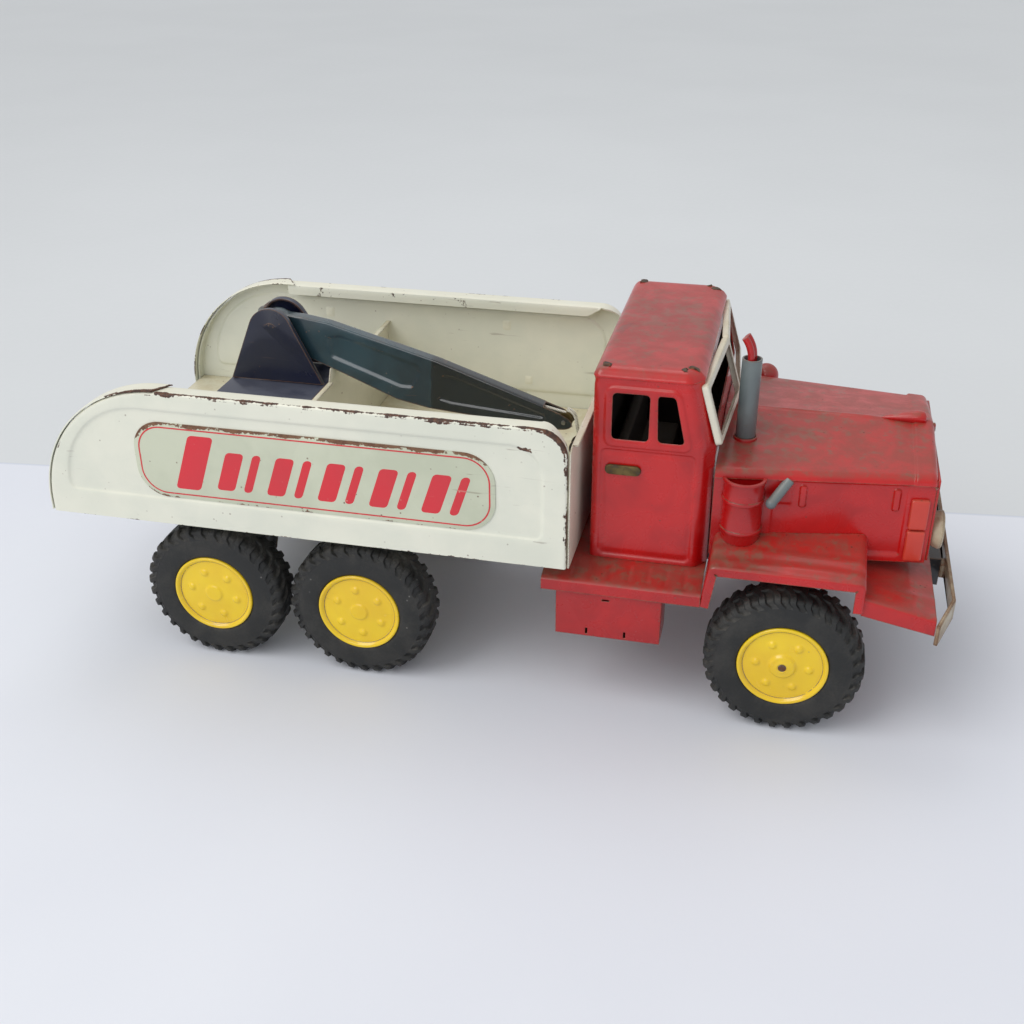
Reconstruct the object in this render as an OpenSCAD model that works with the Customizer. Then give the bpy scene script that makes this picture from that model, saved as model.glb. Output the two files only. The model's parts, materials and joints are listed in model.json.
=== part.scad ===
// Six-wheel service truck with a stowed crane, in pressed tin.
// X points to the nose, Y to the driver's left, Z up. The origin is on the ground under the middle.

/* [Wheels] */
// Outside diameter of a tyre
tyre_d = 69; // [66:0.5:70]
// Width of a tyre
tyre_w = 20; // [16:0.5:22]
// Diameter of the painted wheel disc
disc_d = 39; // [34:0.5:42]
// Distance between the outer faces of a pair of tyres
track_outer = 153; // [149:0.5:155]
// Diameter of an axle
axle_d = 4; // [3:0.1:5]
// Place of the front axle
front_x = 135.5; // [133:0.5:138]
// Place of the middle axle
middle_x = -57; // [-59:0.5:-55]
// Place of the rear axle
rear_x = -129.5; // [-132:0.5:-128]

/* [Bed] */
// Width of the bed over its side panels
bed_w = 160; // [158:1:164]
// Height of the lower edge of a side panel
panel_bottom = 73; // [72:0.5:76]
// Height of the upper edge of a side panel
panel_top = 138; // [136:0.5:144]
// Radius of the big rear curve of a side panel
panel_rear_r = 60; // [54:1:62]
// Radius of the front upper corner of a side panel
panel_front_r = 13; // [8:1:16]
// Width of the flange along the top of a side panel
flange_w = 8.5; // [6:0.5:10]

/* [Cab and hood] */
// Width of the cab
cab_w = 120; // [118:1:124]
// Height of the cab roof above the ground
cab_top = 159; // [156:0.5:162]
// Width of the hood at the windshield
hood_rear_w = 111; // [108:1:114]
// Width of the hood at the radiator
hood_front_w = 87; // [84:1:92]
// Height of the ridge along the hood
hood_ridge = 121.5; // [119:0.5:123]

/* [Crane] */
// Distance from the boom pivot to the tip sheave
boom_len = 146; // [142:1:147]
// Angle by which the stowed boom points down
boom_pitch = 14.3; // [13.5:0.1:14.4]
// Outward lean of each boom side from the vertical
boom_flare = 8; // [4:0.5:9]
// Width of the web along the top of the boom
boom_web_w = 5.5; // [5:0.1:6]

/* [Fits] */
// Radial clearance of a turning shaft in its hole
running = 0.05; // [0.03:0.01:0.1]

/* [Hidden] */
$fn = 48;
t = 0.8;                              // thickness of a pressed sheet
tyre_r = tyre_d / 2;
disc_r = disc_d / 2;
axle_z = tyre_r;
track_half = track_outer / 2;
bed_half = bed_w / 2;
bed_rear = -203.5;
bed_front = 40.5;
bed_floor_z = 77;
lap_x = -141.5;                       // front end of the edge strip
lip_drop = 5.5;                       // depth of the lip along the inner edge of a panel flange
bulkhead_x = 41;
cross_wall_x = -90;
cab_rear = 47;
cab_front = 98.5;
cab_bottom = 69.5;
cab_half = cab_w / 2;
sill_z = 126.6;                       // lower edge of the cab windows
hood_rear = 101.5;
hood_front = 190;
hood_bottom = 75;
hood_edge_z = 115.3;                  // height of the hood top at its side edges
hood_taper = atan((hood_rear_w - hood_front_w) / 2 / (hood_front - hood_rear));
fender_half = 77;
fender_edge_z = 80.5;
fender_slope = 13.5;                  // rise of a fender top towards the hood, in degrees
fender_rear = 100.5;
fender_front = 165.3;
board_rear = 29;
board_front = 98.4;
board_edge_z = 65.8;
board_flat_half = 61;                 // half width of the flat middle of the running boards
board_drop = 5.8;
apron_front = 195;
apron_half = 74;
chassis_half = 20;
chassis_front_z = 64.6;
tower_z = 119;                        // top of the crane's base box
pivot = [-117.3, 0, 143];
shaft_d = 3;
cheek_foot_y = 14;
cheek_lean = 7.3;
cheek_foot = [-138, -91.2];
cheek_r = 11;
sheave_r = 3.9;
sheave_pin_d = 2;
crank_y = 14.4;
cord_d = 1.2;
stack_c = [109.3, -27];
stack_d = 8.6;
stack_base = 119.6;
stack_top = 155.5;
duct_start = [123.4, -57.8, 103.5];
duct_end = [129.2, -52.2, 111];
duct_d = 4.4;
drum_x = 111.5;

// ---------- helpers ----------

// Puts children, drawn for the right side of the truck, on the right (-1) or the left (1)
module on_side(side) {
    if (side < 0) children();
    else mirror([0, 1, 0]) children();
}

// Turns a flat outline drawn as (x, z) into a plate from y outwards by thickness
module plate_xz(y, thickness) {
    translate([0, y + thickness, 0]) rotate([90, 0, 0]) linear_extrude(thickness) children();
}

// Turns a flat outline drawn as (y, z) into a bar from x forwards by length
module bar_yz(x, length) {
    translate([x, 0, 0]) rotate([90, 0, 90]) linear_extrude(length) children();
}

// A cylinder along Y, centred on the point
module pin_y(point, d, length) {
    translate(point) rotate([90, 0, 0]) cylinder(h = length, d = d, center = true);
}

module box(low, high) {
    translate(low) cube(high - low);
}

// Rounded rectangle from low to high with four arcs of radius r
module rounded(low, high, r) {
    size = high - low;
    difference() {
        translate(low) square(size);
        for (i = [0, 1], j = [0, 1])
            translate([i == 0 ? low[0] : high[0], j == 0 ? low[1] : high[1]])
                mirror([i, 0]) mirror([0, j])
                    difference() {
                        translate([-1, -1]) square(r + 1);
                        translate([r, r]) circle(r, $fn = 64);
                    }
    }
}

// Points of an arc from angle a0 to a1
function arc(c, r, a0, a1, n = 10) =
    [for (i = [0:n]) let (a = a0 + (a1 - a0) * i / n) [c[0] + r * cos(a), c[1] + r * sin(a)]];

// Angle at which a line from p touches the circle of radius r round c; hand is 1 or -1
function touch(p, c, r, hand) =
    let (d = p - c, far = norm(d)) atan2(d[1], d[0]) + hand * acos(r / far);

// A round cord through the points, as a swept tube
function unit(v) = v / norm(v);
function ring(p, dir, r, sides) =
    let (u = unit(cross(dir, [0.13, 0.97, 0.21])), w = cross(dir, u))
    [for (i = [0:sides - 1]) p + r * (cos(i * 360 / sides) * u + sin(i * 360 / sides) * w)];
module cord(points, d, sides = 8) {
    last = len(points) - 1;
    rings = [for (i = [0:last])
        ring(points[i], unit(points[min(i + 1, last)] - points[max(i - 1, 0)]), d / 2, sides)];
    verts = [for (r = rings, p = r) p];
    walls = [for (i = [0:last - 1], j = [0:sides - 1])
        let (a = i * sides + j, b = i * sides + (j + 1) % sides)
        [a, b, b + sides, a + sides]];
    caps = [[for (j = [sides - 1:-1:0]) j], [for (j = [0:sides - 1]) last * sides + j]];
    polyhedron(verts, concat(walls, caps), convexity = 6);
}

// ---------- wheels ----------

tyre_bore_r = 17.2;
rim_lip = 1.2;

module tyre(x, side) {
    shoulder = 4;
    inner = tyre_w - 0.6;
    color("#3a3a3a") on_side(side) translate([x, -track_half, axle_z]) rotate([-90, 0, 0])
        rotate_extrude($fn = 96) polygon(concat(
            [[tyre_bore_r, rim_lip + 0.1], [disc_r + 0.15, rim_lip + 0.1], [disc_r + 0.6, 0.4]],
            [[disc_r + 4, 0], [tyre_r - shoulder - 1, 0.3]],
            arc([tyre_r - shoulder, shoulder + 0.3], shoulder, -90, -10, 6),
            [[tyre_r, tyre_w / 2]],
            arc([tyre_r - shoulder, inner - shoulder], shoulder, 10, 90, 6),
            [[disc_r + 4, tyre_w], [tyre_bore_r, tyre_w - 0.5]]));
}

// Pressed wheel: outer disc with a rolled rim, centre dome, six bosses and a drum inside the tyre
module wheel(x, side, open_centre) {
    bosses = 6;
    boss_ring_r = 12.2;
    drum_r = tyre_bore_r - 0.1;
    hub_len = tyre_w - 1;
    dome_r = 5.6;
    color("#e8d032") on_side(side) translate([x, -track_half, axle_z]) rotate([-90, 0, 0])
        difference() {
            union() {
                rotate_extrude($fn = 96) polygon([
                    [0, 0.3], [dome_r - 1.6, 0.3], [dome_r, 1.6], [disc_r - 3, 1.9],
                    [disc_r - 1.8, 0.6], [disc_r - 1, 0.2], [disc_r, 0.5], [disc_r, rim_lip],
                    [drum_r, rim_lip + 0.1], [drum_r, hub_len], [drum_r - 1, hub_len],
                    [drum_r - 1, 3.1], [4, 3.1], [4, hub_len], [0, hub_len]]);
                for (i = [0:bosses - 1]) rotate(30 + i * 360 / bosses)
                    translate([boss_ring_r, 0, 0.8]) cylinder(h = 1.6, r1 = 1.5, r2 = 2.3);
            }
            translate([0, 0, open_centre ? -1 : 2])
                cylinder(h = tyre_w + 4, d = axle_d);
        }
}

module axle(x, length) {
    color("#8f8f8a") pin_y([x, 0, axle_z], axle_d, length);
}

// Folded hanger with bearing holes for the axles at the places xs
module hanger(xs, half_len, top) {
    plate_y = 17;
    plate_t = 1.2;
    reach = 7;
    low_x = min(xs) - half_len;
    high_x = max(xs) + half_len;
    color("#1d1d20") difference() {
        union() {
            for (side = [-1, 1]) on_side(side)
                for (x = xs) plate_xz(-plate_y - plate_t, plate_t)
                    polygon([[x - half_len, top], [x - reach, axle_z - reach],
                        [x + reach, axle_z - reach], [x + half_len, top]]);
            for (side = [-1, 1]) on_side(side)
                box([low_x, -plate_y - plate_t, top - 16], [high_x, -plate_y, top]);
            box([low_x, -plate_y - plate_t, top - plate_t], [high_x, plate_y + plate_t, top]);
        }
        for (x = xs) pin_y([x, 0, axle_z], axle_d + 2 * running, 60);
    }
}

// ---------- chassis ----------

module chassis_frame() {
    rail_t = 1;
    rear = -195;
    front = 200.4;
    step = 42;
    inner = chassis_half - rail_t;
    color("#202124") {
        for (side = [-1, 1]) on_side(side)
            plate_xz(-chassis_half, rail_t)
                polygon([[rear, bed_floor_z], [rear, 68], [rear + 14, 58], [step + 6, 54],
                    [step + 12, 51], [front, 51], [front, chassis_front_z],
                    [step, chassis_front_z], [step, bed_floor_z]]);
        box([rear, -inner, bed_floor_z - rail_t], [step, inner, bed_floor_z]);
        box([step - rail_t, -inner, chassis_front_z - rail_t], [step, inner, bed_floor_z]);
        box([step - rail_t, -inner, chassis_front_z - rail_t], [front, inner, chassis_front_z]);
        box([rear, -inner, 68], [rear + rail_t, inner, bed_floor_z]);
    }
}

// ---------- bed ----------

// Side outline of a bed panel, drawn as (x, z), drawn in by inset on every edge but the lower one
module panel_outline(inset) {
    rear_c = [bed_rear + panel_rear_r, panel_top - panel_rear_r];
    front_c = [bed_front - panel_front_r, panel_top - panel_front_r];
    low = panel_bottom - (inset > 0 ? 5 : 0);
    difference() {
        translate([bed_rear + inset, low])
            square([bed_front - bed_rear - 2 * inset, panel_top - low - inset]);
        difference() {
            translate([bed_rear - 1, rear_c[1]]) square(panel_rear_r + 1);
            translate(rear_c) circle(panel_rear_r - inset, $fn = 128);
        }
        difference() {
            translate(front_c) square(panel_front_r + 1);
            translate(front_c) circle(panel_front_r - inset, $fn = 64);
        }
    }
}

module side_panel(side) {
    lip_front = bed_front - panel_front_r - 2;
    color("#e6e4d2") on_side(side) {
        difference() {
            plate_xz(-bed_half, flange_w) panel_outline(0);
            plate_xz(-bed_half + t, flange_w) panel_outline(t);
            box([bed_rear - 1, -bed_half + t, 0], [lap_x, 0, 200]);
            box([bed_front - panel_front_r, -bed_half + 4, 0], [bed_front + 1, 0, panel_top - 3]);
        }
        box([lap_x, -bed_half + flange_w - t, panel_top - lip_drop],
            [lip_front, -bed_half + flange_w, panel_top]);
    }
}
// Separate strip bent over the big rear curve
module edge_strip(side) {
    strip_t = t;
    rear_c = [bed_rear + panel_rear_r, panel_top - panel_rear_r];
    color("#e2dcc4") on_side(side)
        plate_xz(-bed_half, flange_w + 0.8) {
            difference() {
                intersection() {
                    translate(rear_c) circle(panel_rear_r + strip_t, $fn = 128);
                    translate([bed_rear - 2, rear_c[1]]) square(panel_rear_r + 2);
                }
                translate(rear_c) circle(panel_rear_r + 0.03, $fn = 128);
            }
            translate([rear_c[0], panel_top + 0.03]) square([lap_x - rear_c[0], strip_t - 0.03]);
            translate([bed_rear - strip_t, panel_bottom])
                square([strip_t, rear_c[1] - panel_bottom]);
        }
}

// Thin plate that carries the painted panel on each side
module label_plate(side) {
    color("#c8cdb4") on_side(side)
        plate_xz(-bed_half - 0.5, 0.5) rounded([-156.5, 87], [9.7, 124], 14);
}

module bed_floor() {
    half = bed_half - t - 0.1;
    rear = bed_rear + 1;
    front = bed_front - t - 0.1;
    color("#dedac4") {
        box([rear, -half, bed_floor_z], [front, half, bed_floor_z + t]);
        box([rear, -bed_half + 4.2, bed_floor_z], [bulkhead_x, bed_half - 4.2, bed_floor_z + t]);
        for (side = [-1, 1]) on_side(side)
            box([rear, -half, bed_floor_z - 4], [front, -half + t, bed_floor_z]);
        box([rear, -half, bed_floor_z - 4], [rear + t, half, bed_floor_z]);
    }
}

module bulkhead() {
    half = bed_half - 1;
    top = 129.5;
    r = 5;
    color("#e6e4d2") {
        bar_yz(bulkhead_x, t) difference() {
            translate([-half, panel_bottom]) square([2 * half, top - panel_bottom]);
            translate([-chassis_half - 0.2, panel_bottom - 1])
                square([2 * chassis_half + 0.4, bed_floor_z + 1.1 - panel_bottom]);
            for (side = [-1, 1]) translate([side * (half - r), top - r])
                difference() {
                    translate([side < 0 ? -r - 1 : 0, 0]) square(r + 1);
                    circle(r);
                }
        }
        box([bulkhead_x, -half + r, top - t], [bulkhead_x + 3, half - r, top]);
    }
}

// Low wall across the bed, with a raised saddle on which the stowed boom lies
module cross_wall() {
    half = bed_half - t - 0.4;
    low = bed_floor_z + t;
    wing_z = 119.5;
    saddle_half = 7;
    saddle_z = 125.2;
    ramp = 3;
    color("#dcd9c0") {
        bar_yz(cross_wall_x, t)
            polygon([[-half, low], [half, low], [half, wing_z], [saddle_half + ramp, wing_z],
                [saddle_half, saddle_z], [-saddle_half, saddle_z], [-saddle_half - ramp, wing_z],
                [-half, wing_z]]);
        for (side = [-1, 1]) on_side(side)
            box([cross_wall_x, -half, wing_z - t], [cross_wall_x + 2.6, -saddle_half - ramp, wing_z]);
    }
}

// ---------- crane ----------

module tower_base() {
    half = 36;
    low = bed_floor_z + t;
    rear_low = -146;
    rear_top = -138.4;
    front = cross_wall_x - 0.4;
    color("#232a52") difference() {
        plate_xz(-half, 2 * half)
            polygon([[rear_low, low], [front, low], [front, tower_z], [rear_top, tower_z]]);
        plate_xz(-half + t, 2 * (half - t))
            polygon([[rear_low + t, low - 1], [front - t, low - 1], [front - t, tower_z - t],
                [rear_top + t, tower_z - t]]);
    }
}

// Outline of a tower cheek as (x, height above the foot), drawn in by inset except at the foot
function cheek_outline(inset) =
    let (c = [pivot[0], (pivot[2] - tower_z) / cos(cheek_lean)], r = cheek_r - inset,
        foot = inset > 0 ? -2 : 0,
        left = [cheek_foot[0] + inset, foot], right = [cheek_foot[1] - inset, foot],
        a_left = touch(left, c, r, -1), a_right = touch(right, c, r, 1))
    concat([left, right], arc(c, r, a_right, a_left < a_right ? a_left + 360 : a_left, 18));

module tower_cheek(side, through) {
    rim_w = 3;
    face_y = cheek_foot_y - (pivot[2] - tower_z) * tan(cheek_lean);
    boss_y = 5.6;
    bore_d = shaft_d + 2 * running;
    color("#20264c") on_side(side) difference() {
        union() {
            translate([0, -cheek_foot_y, tower_z]) rotate([-cheek_lean, 0, 0]) difference() {
                plate_xz(0, rim_w) polygon(cheek_outline(0));
                plate_xz(t, rim_w) polygon(cheek_outline(t));
                box([-200, -5, -9], [0, 20, 0.4]);
            }
            translate([pivot[0], -boss_y, pivot[2]]) rotate([90, 0, 0])
                cylinder(h = face_y - boss_y - 0.3, r = 4);
        }
        if (through) pin_y(pivot, bore_d, 40);
        else translate([pivot[0], -boss_y + 1, pivot[2]]) rotate([90, 0, 0])
            cylinder(h = 4, d = bore_d);
    }
}

// Points of one boom side as (distance from the pivot, height above the centre line)
boom_root_r = 8;
boom_tip_r = 4.5;
boom_top = [[5, 7.8], [24.5, 10.2], [80, 9.2], [boom_len - 3, 4]];
boom_under = [[boom_len - 3, -4.6], [82, -14.2], [66, -15], [38, -11.2], [8, -6]];
boom_outline = concat(
    boom_top,
    arc([boom_len, 0], boom_tip_r, 60, -60, 10),
    boom_under,
    arc([0, 0], boom_root_r, -60, -260, 16));
boom_hinge_v = 10;
boom_web_end = boom_len - 12;         // the web is open in front of here for the cord

module in_boom() {
    translate(pivot) rotate([0, boom_pitch, 0]) children();
}

// Half the outer width of the flared boom at a height above its centre line, less a wall
function boom_half(v, wall) =
    boom_web_w / 2 + (boom_hinge_v - v) * tan(boom_flare) - wall / cos(boom_flare);

module boom_wedge(wall) {
    bar_yz(-20, boom_len + 40) polygon([
        [-boom_half(-30, wall), -30], [boom_half(-30, wall), -30],
        [boom_half(12, wall), 12], [-boom_half(12, wall), 12]]);
}

// Everything under the web, and the open ends in front of and behind it
module boom_inside() {
    plate_xz(-30, 60) polygon([
        [-20, -40], [boom_len + 20, -40], [boom_len + 20, 20],
        [boom_web_end, 20], [boom_web_end, 4.76 - t], [80, 9.2 - t],
        [25.5, 10.2 - t], [25.5, 20], [-20, 20]]);
}

module boom() {
    color("#2c4650") in_boom() difference() {
        intersection() {
            boom_wedge(0);
            plate_xz(-25, 50) polygon(boom_outline);
        }
        intersection() {
            boom_wedge(t);
            boom_inside();
        }
        pin_y([0, 0, 0], shaft_d + 2 * running, 40);
        pin_y([boom_len, 0, 0], sheave_pin_d, 40);
    }
}

module sheave_pin() {
    color("#9a9a94") in_boom() pin_y([boom_len, 0, 0], sheave_pin_d, 10);
}

// Grooved roller at the boom tip
module tip_sheave() {
    width = 3.6;
    color("#b09a6a") in_boom() translate([boom_len, 0, 0]) rotate([90, 0, 0])
        rotate_extrude() polygon([
            [sheave_pin_d / 2 + running, -width / 2], [sheave_r, -width / 2],
            [sheave_r, -width / 2 + 0.5], [sheave_r - 1, -0.5], [sheave_r - 1, 0.5],
            [sheave_r, width / 2 - 0.5], [sheave_r, width / 2],
            [sheave_pin_d / 2 + running, width / 2]]);
}

// Spool inside the boom foot with the shaft that carries it
module winch_drum() {
    spool_half = 2.2;
    spool_r = 4.6;
    near_end = -8.4;
    color("#9c9c96") union() {
        translate(pivot) rotate([90, 0, 0]) rotate_extrude() polygon([
            [0, -spool_half], [spool_r, -spool_half], [spool_r, -spool_half + 0.6],
            [2.4, -spool_half + 0.6], [2.4, spool_half - 0.6], [spool_r, spool_half - 0.6],
            [spool_r, spool_half], [0, spool_half]]);
        translate([pivot[0], crank_y + 1.6, pivot[2]]) rotate([90, 0, 0])
            cylinder(h = crank_y + 1.6 - near_end, d = shaft_d);
    }
}

module winch_crank() {
    arm = 14;
    knob_d = 5;
    knob_len = 9;
    color("#8a8a84") difference() {
        union() {
            translate([0, crank_y, 0]) {
                pin_y([pivot[0], 0.8, pivot[2]], 6, 1.6);
                pin_y([pivot[0] - arm, 0.8, pivot[2]], 6, 1.6);
                box([pivot[0] - arm, 0, pivot[2] - 2.2], [pivot[0], 1.6, pivot[2] + 2.2]);
                pin_y([pivot[0] - arm, 1.6 + knob_len / 2, pivot[2]], knob_d, knob_len);
            }
        }
        pin_y(pivot, shaft_d, 60);
    }
}

// The cord runs along the inside of the boom from the spool to the top of the sheave
module hoist_cord() {
    color("#e9e6da") in_boom() cord(
        concat([[2.6, 0, 2.4], [20, 0, 4.6], [45, 0, 5.2], [75, 0, 5], [105, 0, 4.1], [128, 0, 3.3], [136, 0, 3.2]],
            [[boom_len - 0.4, 0, sheave_r - 1 + cord_d / 2 + 0.05]]), cord_d);
}

// Place of the sheave axle in the truck's own frame
tip = pivot + [boom_len * cos(boom_pitch), 0, -boom_len * sin(boom_pitch)];
block_c = tip + [7.2, 0, -13.5];
block_r = 4.6;

// One cord that comes over the tip, passes under the head of the block and goes back up
module cord_falls() {
    wrap_r = sheave_r + cord_d / 2 + 0.9;
    fall_y = 1.2;
    near = [for (a = [80:-20:20]) tip + [wrap_r * cos(a), -fall_y, wrap_r * sin(a)]];
    far = [for (a = [20:20:80]) tip + [wrap_r * cos(a), fall_y, wrap_r * sin(a)]];
    turn = [for (a = [180:30:360])
        block_c + [-0.4, fall_y * cos(a), block_r + 1 + fall_y * sin(a)]];
    color("#e9e6da") cord(concat(near, turn, far), cord_d);
}

module hook_block() {
    cheek_t = 0.8;
    cheek_y = 2.4;
    pin_d = 1.6;
    color("#2a2b2d") {
        for (side = [-1, 1]) on_side(side)
            translate([0, -cheek_y - cheek_t, 0]) translate(block_c) rotate([-90, 0, 0])
                cylinder(h = cheek_t, r = block_r);
        translate(block_c) rotate([90, 0, 0]) rotate_extrude() polygon([
            [0, -cheek_y], [pin_d, -cheek_y], [3.6, -1.6], [3, 0], [3.6, 1.6],
            [pin_d, cheek_y], [0, cheek_y]]);
        box(block_c + [-1.6, -cheek_y, block_r - 1.2], block_c + [1.6, cheek_y, block_r + 0.8]);
        box(block_c + [-1.6, -cheek_y, -block_r - 0.6], block_c + [1.6, cheek_y, -block_r + 1]);
    }
}

// Open hook of round wire under the block
module hook() {
    wire_d = 1.6;
    bend_r = 3.4;
    stem = 2.2;
    top = block_c + [0, 0, -block_r - 0.6];
    c = top + [0, 0, -stem - bend_r];
    color("#a3a39c") {
        translate(top + [0, 0, -stem]) cylinder(h = stem, d = wire_d);
        translate(c) rotate([90, 0, 0]) rotate([0, 0, 90])
            rotate_extrude(angle = -265) translate([bend_r, 0]) circle(d = wire_d, $fn = 24);
    }
}

// ---------- cab ----------

// Solid shape of the cab, drawn in by inset, used for the outside and the hollow
module cab_solid(inset) {
    roof_r = 9 - inset;
    half = cab_half - inset;
    top = cab_top - inset;
    rear = cab_rear + inset;
    front = cab_front - inset;
    low = cab_bottom - (inset > 0 ? 5 : 0);
    intersection() {
        bar_yz(rear, front - rear) difference() {
            translate([-half, low]) square([2 * half, top - low]);
            for (side = [-1, 1]) translate([side * (half - roof_r), top - roof_r])
                difference() {
                    translate([side < 0 ? -roof_r - 1 : 0, 0]) square(roof_r + 1);
                    circle(roof_r, $fn = 64);
                }
        }
        plate_xz(-half - 1, 2 * half + 2)
            polygon(concat(
                [[rear, low], [front, low], [front, sill_z], [front - 7.8, sill_z + 26]],
                arc([front - 15, top - 7], 7, 16, 90, 8),
                arc([rear + 4, top - 4], 4, 90, 180, 6)));
        linear_extrude(200) polygon([[rear, -half], [front - 5, -half], [front, -half + 5],
            [front, half - 5], [front - 5, half], [rear, half]]);
    }
}

module cab_shell() {
    window_r = 1.5;
    color("#b82222") difference() {
        cab_solid(0);
        cab_solid(t);
        plate_xz(-80, 160) rounded([55, sill_z], [70.8, 148.3], window_r);
        plate_xz(-80, 160) polygon([[74.4, sill_z], [86, sill_z], [81.6, 148.3], [74.4, 148.3]]);
        bar_yz(cab_rear - 1, 5) rounded([-34, 131], [34, 148], 3);
        bar_yz(cab_front - 14, 24) polygon([[-52, sill_z + 4], [52, sill_z + 4], [52, 151],
            [-52, 151]]);
    }
}

// Vee windshield: two raked frames that meet in the middle
module windshield_frame() {
    pane_w = 56;
    pane_h = 27.5;
    post = 2.8;
    yaw = 4.1;
    rake = 16.7;
    thick = 1;
    foot = [cab_front + 6, 0, sill_z + 1.4];
    color("#e4dfc8") for (side = [-1, 1]) on_side(side)
        translate(foot) rotate([0, -rake, 0]) rotate([0, 0, -yaw])
            bar_yz(-thick, thick) difference() {
                translate([-pane_w, 0]) square([pane_w - 0.05, pane_h]);
                translate([-pane_w + post, post]) square([pane_w - post - 1.4, pane_h - 2 * post]);
            }
}

module seat() {
    low = cab_bottom - 0.1;
    half = 46;
    color("#2b2623") {
        box([58, -half, low], [74, half, 90]);
        box([53, -half, low], [58, half, 112]);
    }
}

module steering_wheel() {
    c = [84, 28, 113];
    color("#1c1c1c") {
        translate(c) rotate([0, -60, 0]) {
            rotate_extrude() translate([8.5, 0]) circle(d = 1.8, $fn = 20);
            for (a = [0, 120, 240]) rotate(a) translate([0, -0.7, -0.5]) cube([8.5, 1.4, 1]);
            translate([0, 0, -14.6]) cylinder(h = 15.1, d = 2.6);
        }
    }
}

module door_handle(side) {
    color("#6e5f3c") on_side(side)
        plate_xz(-cab_half - 1.4, 1.4) rounded([53, 111.4], [68.4, 116], 2.2);
}

// ---------- front end ----------

// Half width of the hood side at a given x
function hood_half(x) = hood_rear_w / 2
    + (hood_front_w - hood_rear_w) / 2 * (x - hood_rear) / (hood_front - hood_rear);

module hood_plan(inset) {
    polygon([[hood_rear, -hood_rear_w / 2 + inset], [hood_front, -hood_front_w / 2 + inset],
        [hood_front, hood_front_w / 2 - inset], [hood_rear, hood_rear_w / 2 - inset]]);
}

module hood_roof(inset) {
    half = hood_rear_w / 2 + 2;
    low = hood_bottom - (inset > 0 ? 5 : 0);
    bar_yz(hood_rear - 1, hood_front - hood_rear + 2)
        polygon([[-half, low], [half, low], [half, hood_edge_z - inset],
            [0, hood_ridge - inset], [-half, hood_edge_z - inset]]);
}

module hood() {
    collar_r = 5;
    color("#b42424") difference() {
        union() {
            difference() {
                intersection() {
                    linear_extrude(200) hood_plan(0);
                    hood_roof(0);
                }
                intersection() {
                    linear_extrude(200) hood_plan(t);
                    hood_roof(t);
                }
            }
            translate([stack_c[0], stack_c[1], 116.9])
                cylinder(h = stack_base - 116.9, r = collar_r);
            for (side = [-1, 1]) on_side(side) for (z = [76, 91.4])
                translate([180.5, -hood_half(180.5) - 1.3, z]) rotate([0, 0, hood_taper])
                    cube([7.4, 1.6, 14.8]);
        }
        duct_run(duct_d + 0.2);
        translate([stack_c[0], stack_c[1], 100]) cylinder(h = 60, d = stack_d - 2 * t);
    }
}

// Radiator panel with upright bars
module grille() {
    half = hood_front_w / 2 - 0.6;
    bar_count = 11;
    pitch = 6.4;
    color("#a82020") difference() {
        box([hood_front, -half, hood_bottom + 1], [hood_front + 1.2, half, hood_edge_z - 1]);
        for (i = [0:bar_count - 1]) translate([0, (i - (bar_count - 1) / 2) * pitch, 0])
            box([hood_front - 1, -1.4, hood_bottom + 22], [hood_front + 3, 1.4, hood_edge_z - 6]);
    }
}

module headlamp(side) {
    lamp_x = hood_front + 1.2;
    color("#b8a888") on_side(side) translate([lamp_x, -34, 87]) rotate([0, 90, 0])
        rotate_extrude($fn = 64) polygon([[0, 0], [7, 0], [8.4, 3.4], [8.4, 4.6], [7.4, 5.2],
            [6.6, 4.8], [4, 5.6], [0, 6]]);
}

// Cross-section of a fender top from the hood out to its lip, as (y, z) on the right side
module fender_section() {
    inner_y = -36;
    rise = (fender_half + inner_y) * tan(fender_slope);
    polygon([[-fender_half, fender_edge_z - 4], [-fender_half, fender_edge_z],
        [inner_y, fender_edge_z + rise], [inner_y, fender_edge_z + rise - t],
        [-fender_half + t, fender_edge_z - t * 0.8], [-fender_half + t, fender_edge_z - 4]]);
}

module board_section() {
    inner_z = cab_bottom - 0.1;
    polygon([[-fender_half, board_edge_z - board_drop], [-fender_half, board_edge_z],
        [-board_flat_half, inner_z], [0, inner_z], [0, inner_z - t], [-board_flat_half, inner_z - t],
        [-fender_half + t, board_edge_z - t], [-fender_half + t, board_edge_z - board_drop]]);
}

// One pressing: running boards, front fenders and the apron under the radiator
module fender_pan() {
    apron_rear_z = 72;
    apron_front_z = 65.6;
    apron_drop = 8;
    clear = 0.15;
    color("#a83030") for (side = [-1, 1]) on_side(side) {
        difference() {
            bar_yz(board_rear, board_front - board_rear) board_section();
            box([board_rear - 1, -chassis_half - 0.2, 60], [42.2, 1, 72]);
        }
        difference() {
            union() {
                bar_yz(fender_rear, fender_front - fender_rear) fender_section();
                plate_xz(-fender_half, fender_half - 36)
                    polygon([[board_front - t, 60.5], [board_front, 60.5],
                        [fender_rear + t, fender_edge_z], [fender_rear, fender_edge_z]]);
                plate_xz(-fender_half, fender_half - 36)
                    polygon([[fender_front - t, fender_edge_z], [fender_front, fender_edge_z],
                        [fender_front, 66], [fender_front - t, 66]]);
            }
            linear_extrude(200) hood_plan(-clear);
        }
        plate_xz(-apron_half, apron_half)
            polygon([[fender_front - t, apron_rear_z], [apron_front, apron_front_z],
                [apron_front, apron_front_z - t], [fender_front - t, apron_rear_z - t]]);
        plate_xz(-apron_half, t)
            polygon([[fender_front - t, apron_rear_z], [apron_front, apron_front_z],
                [apron_front - 3, apron_front_z - apron_drop],
                [fender_front - t, apron_rear_z - apron_drop - 1]]);
    }
}

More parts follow.
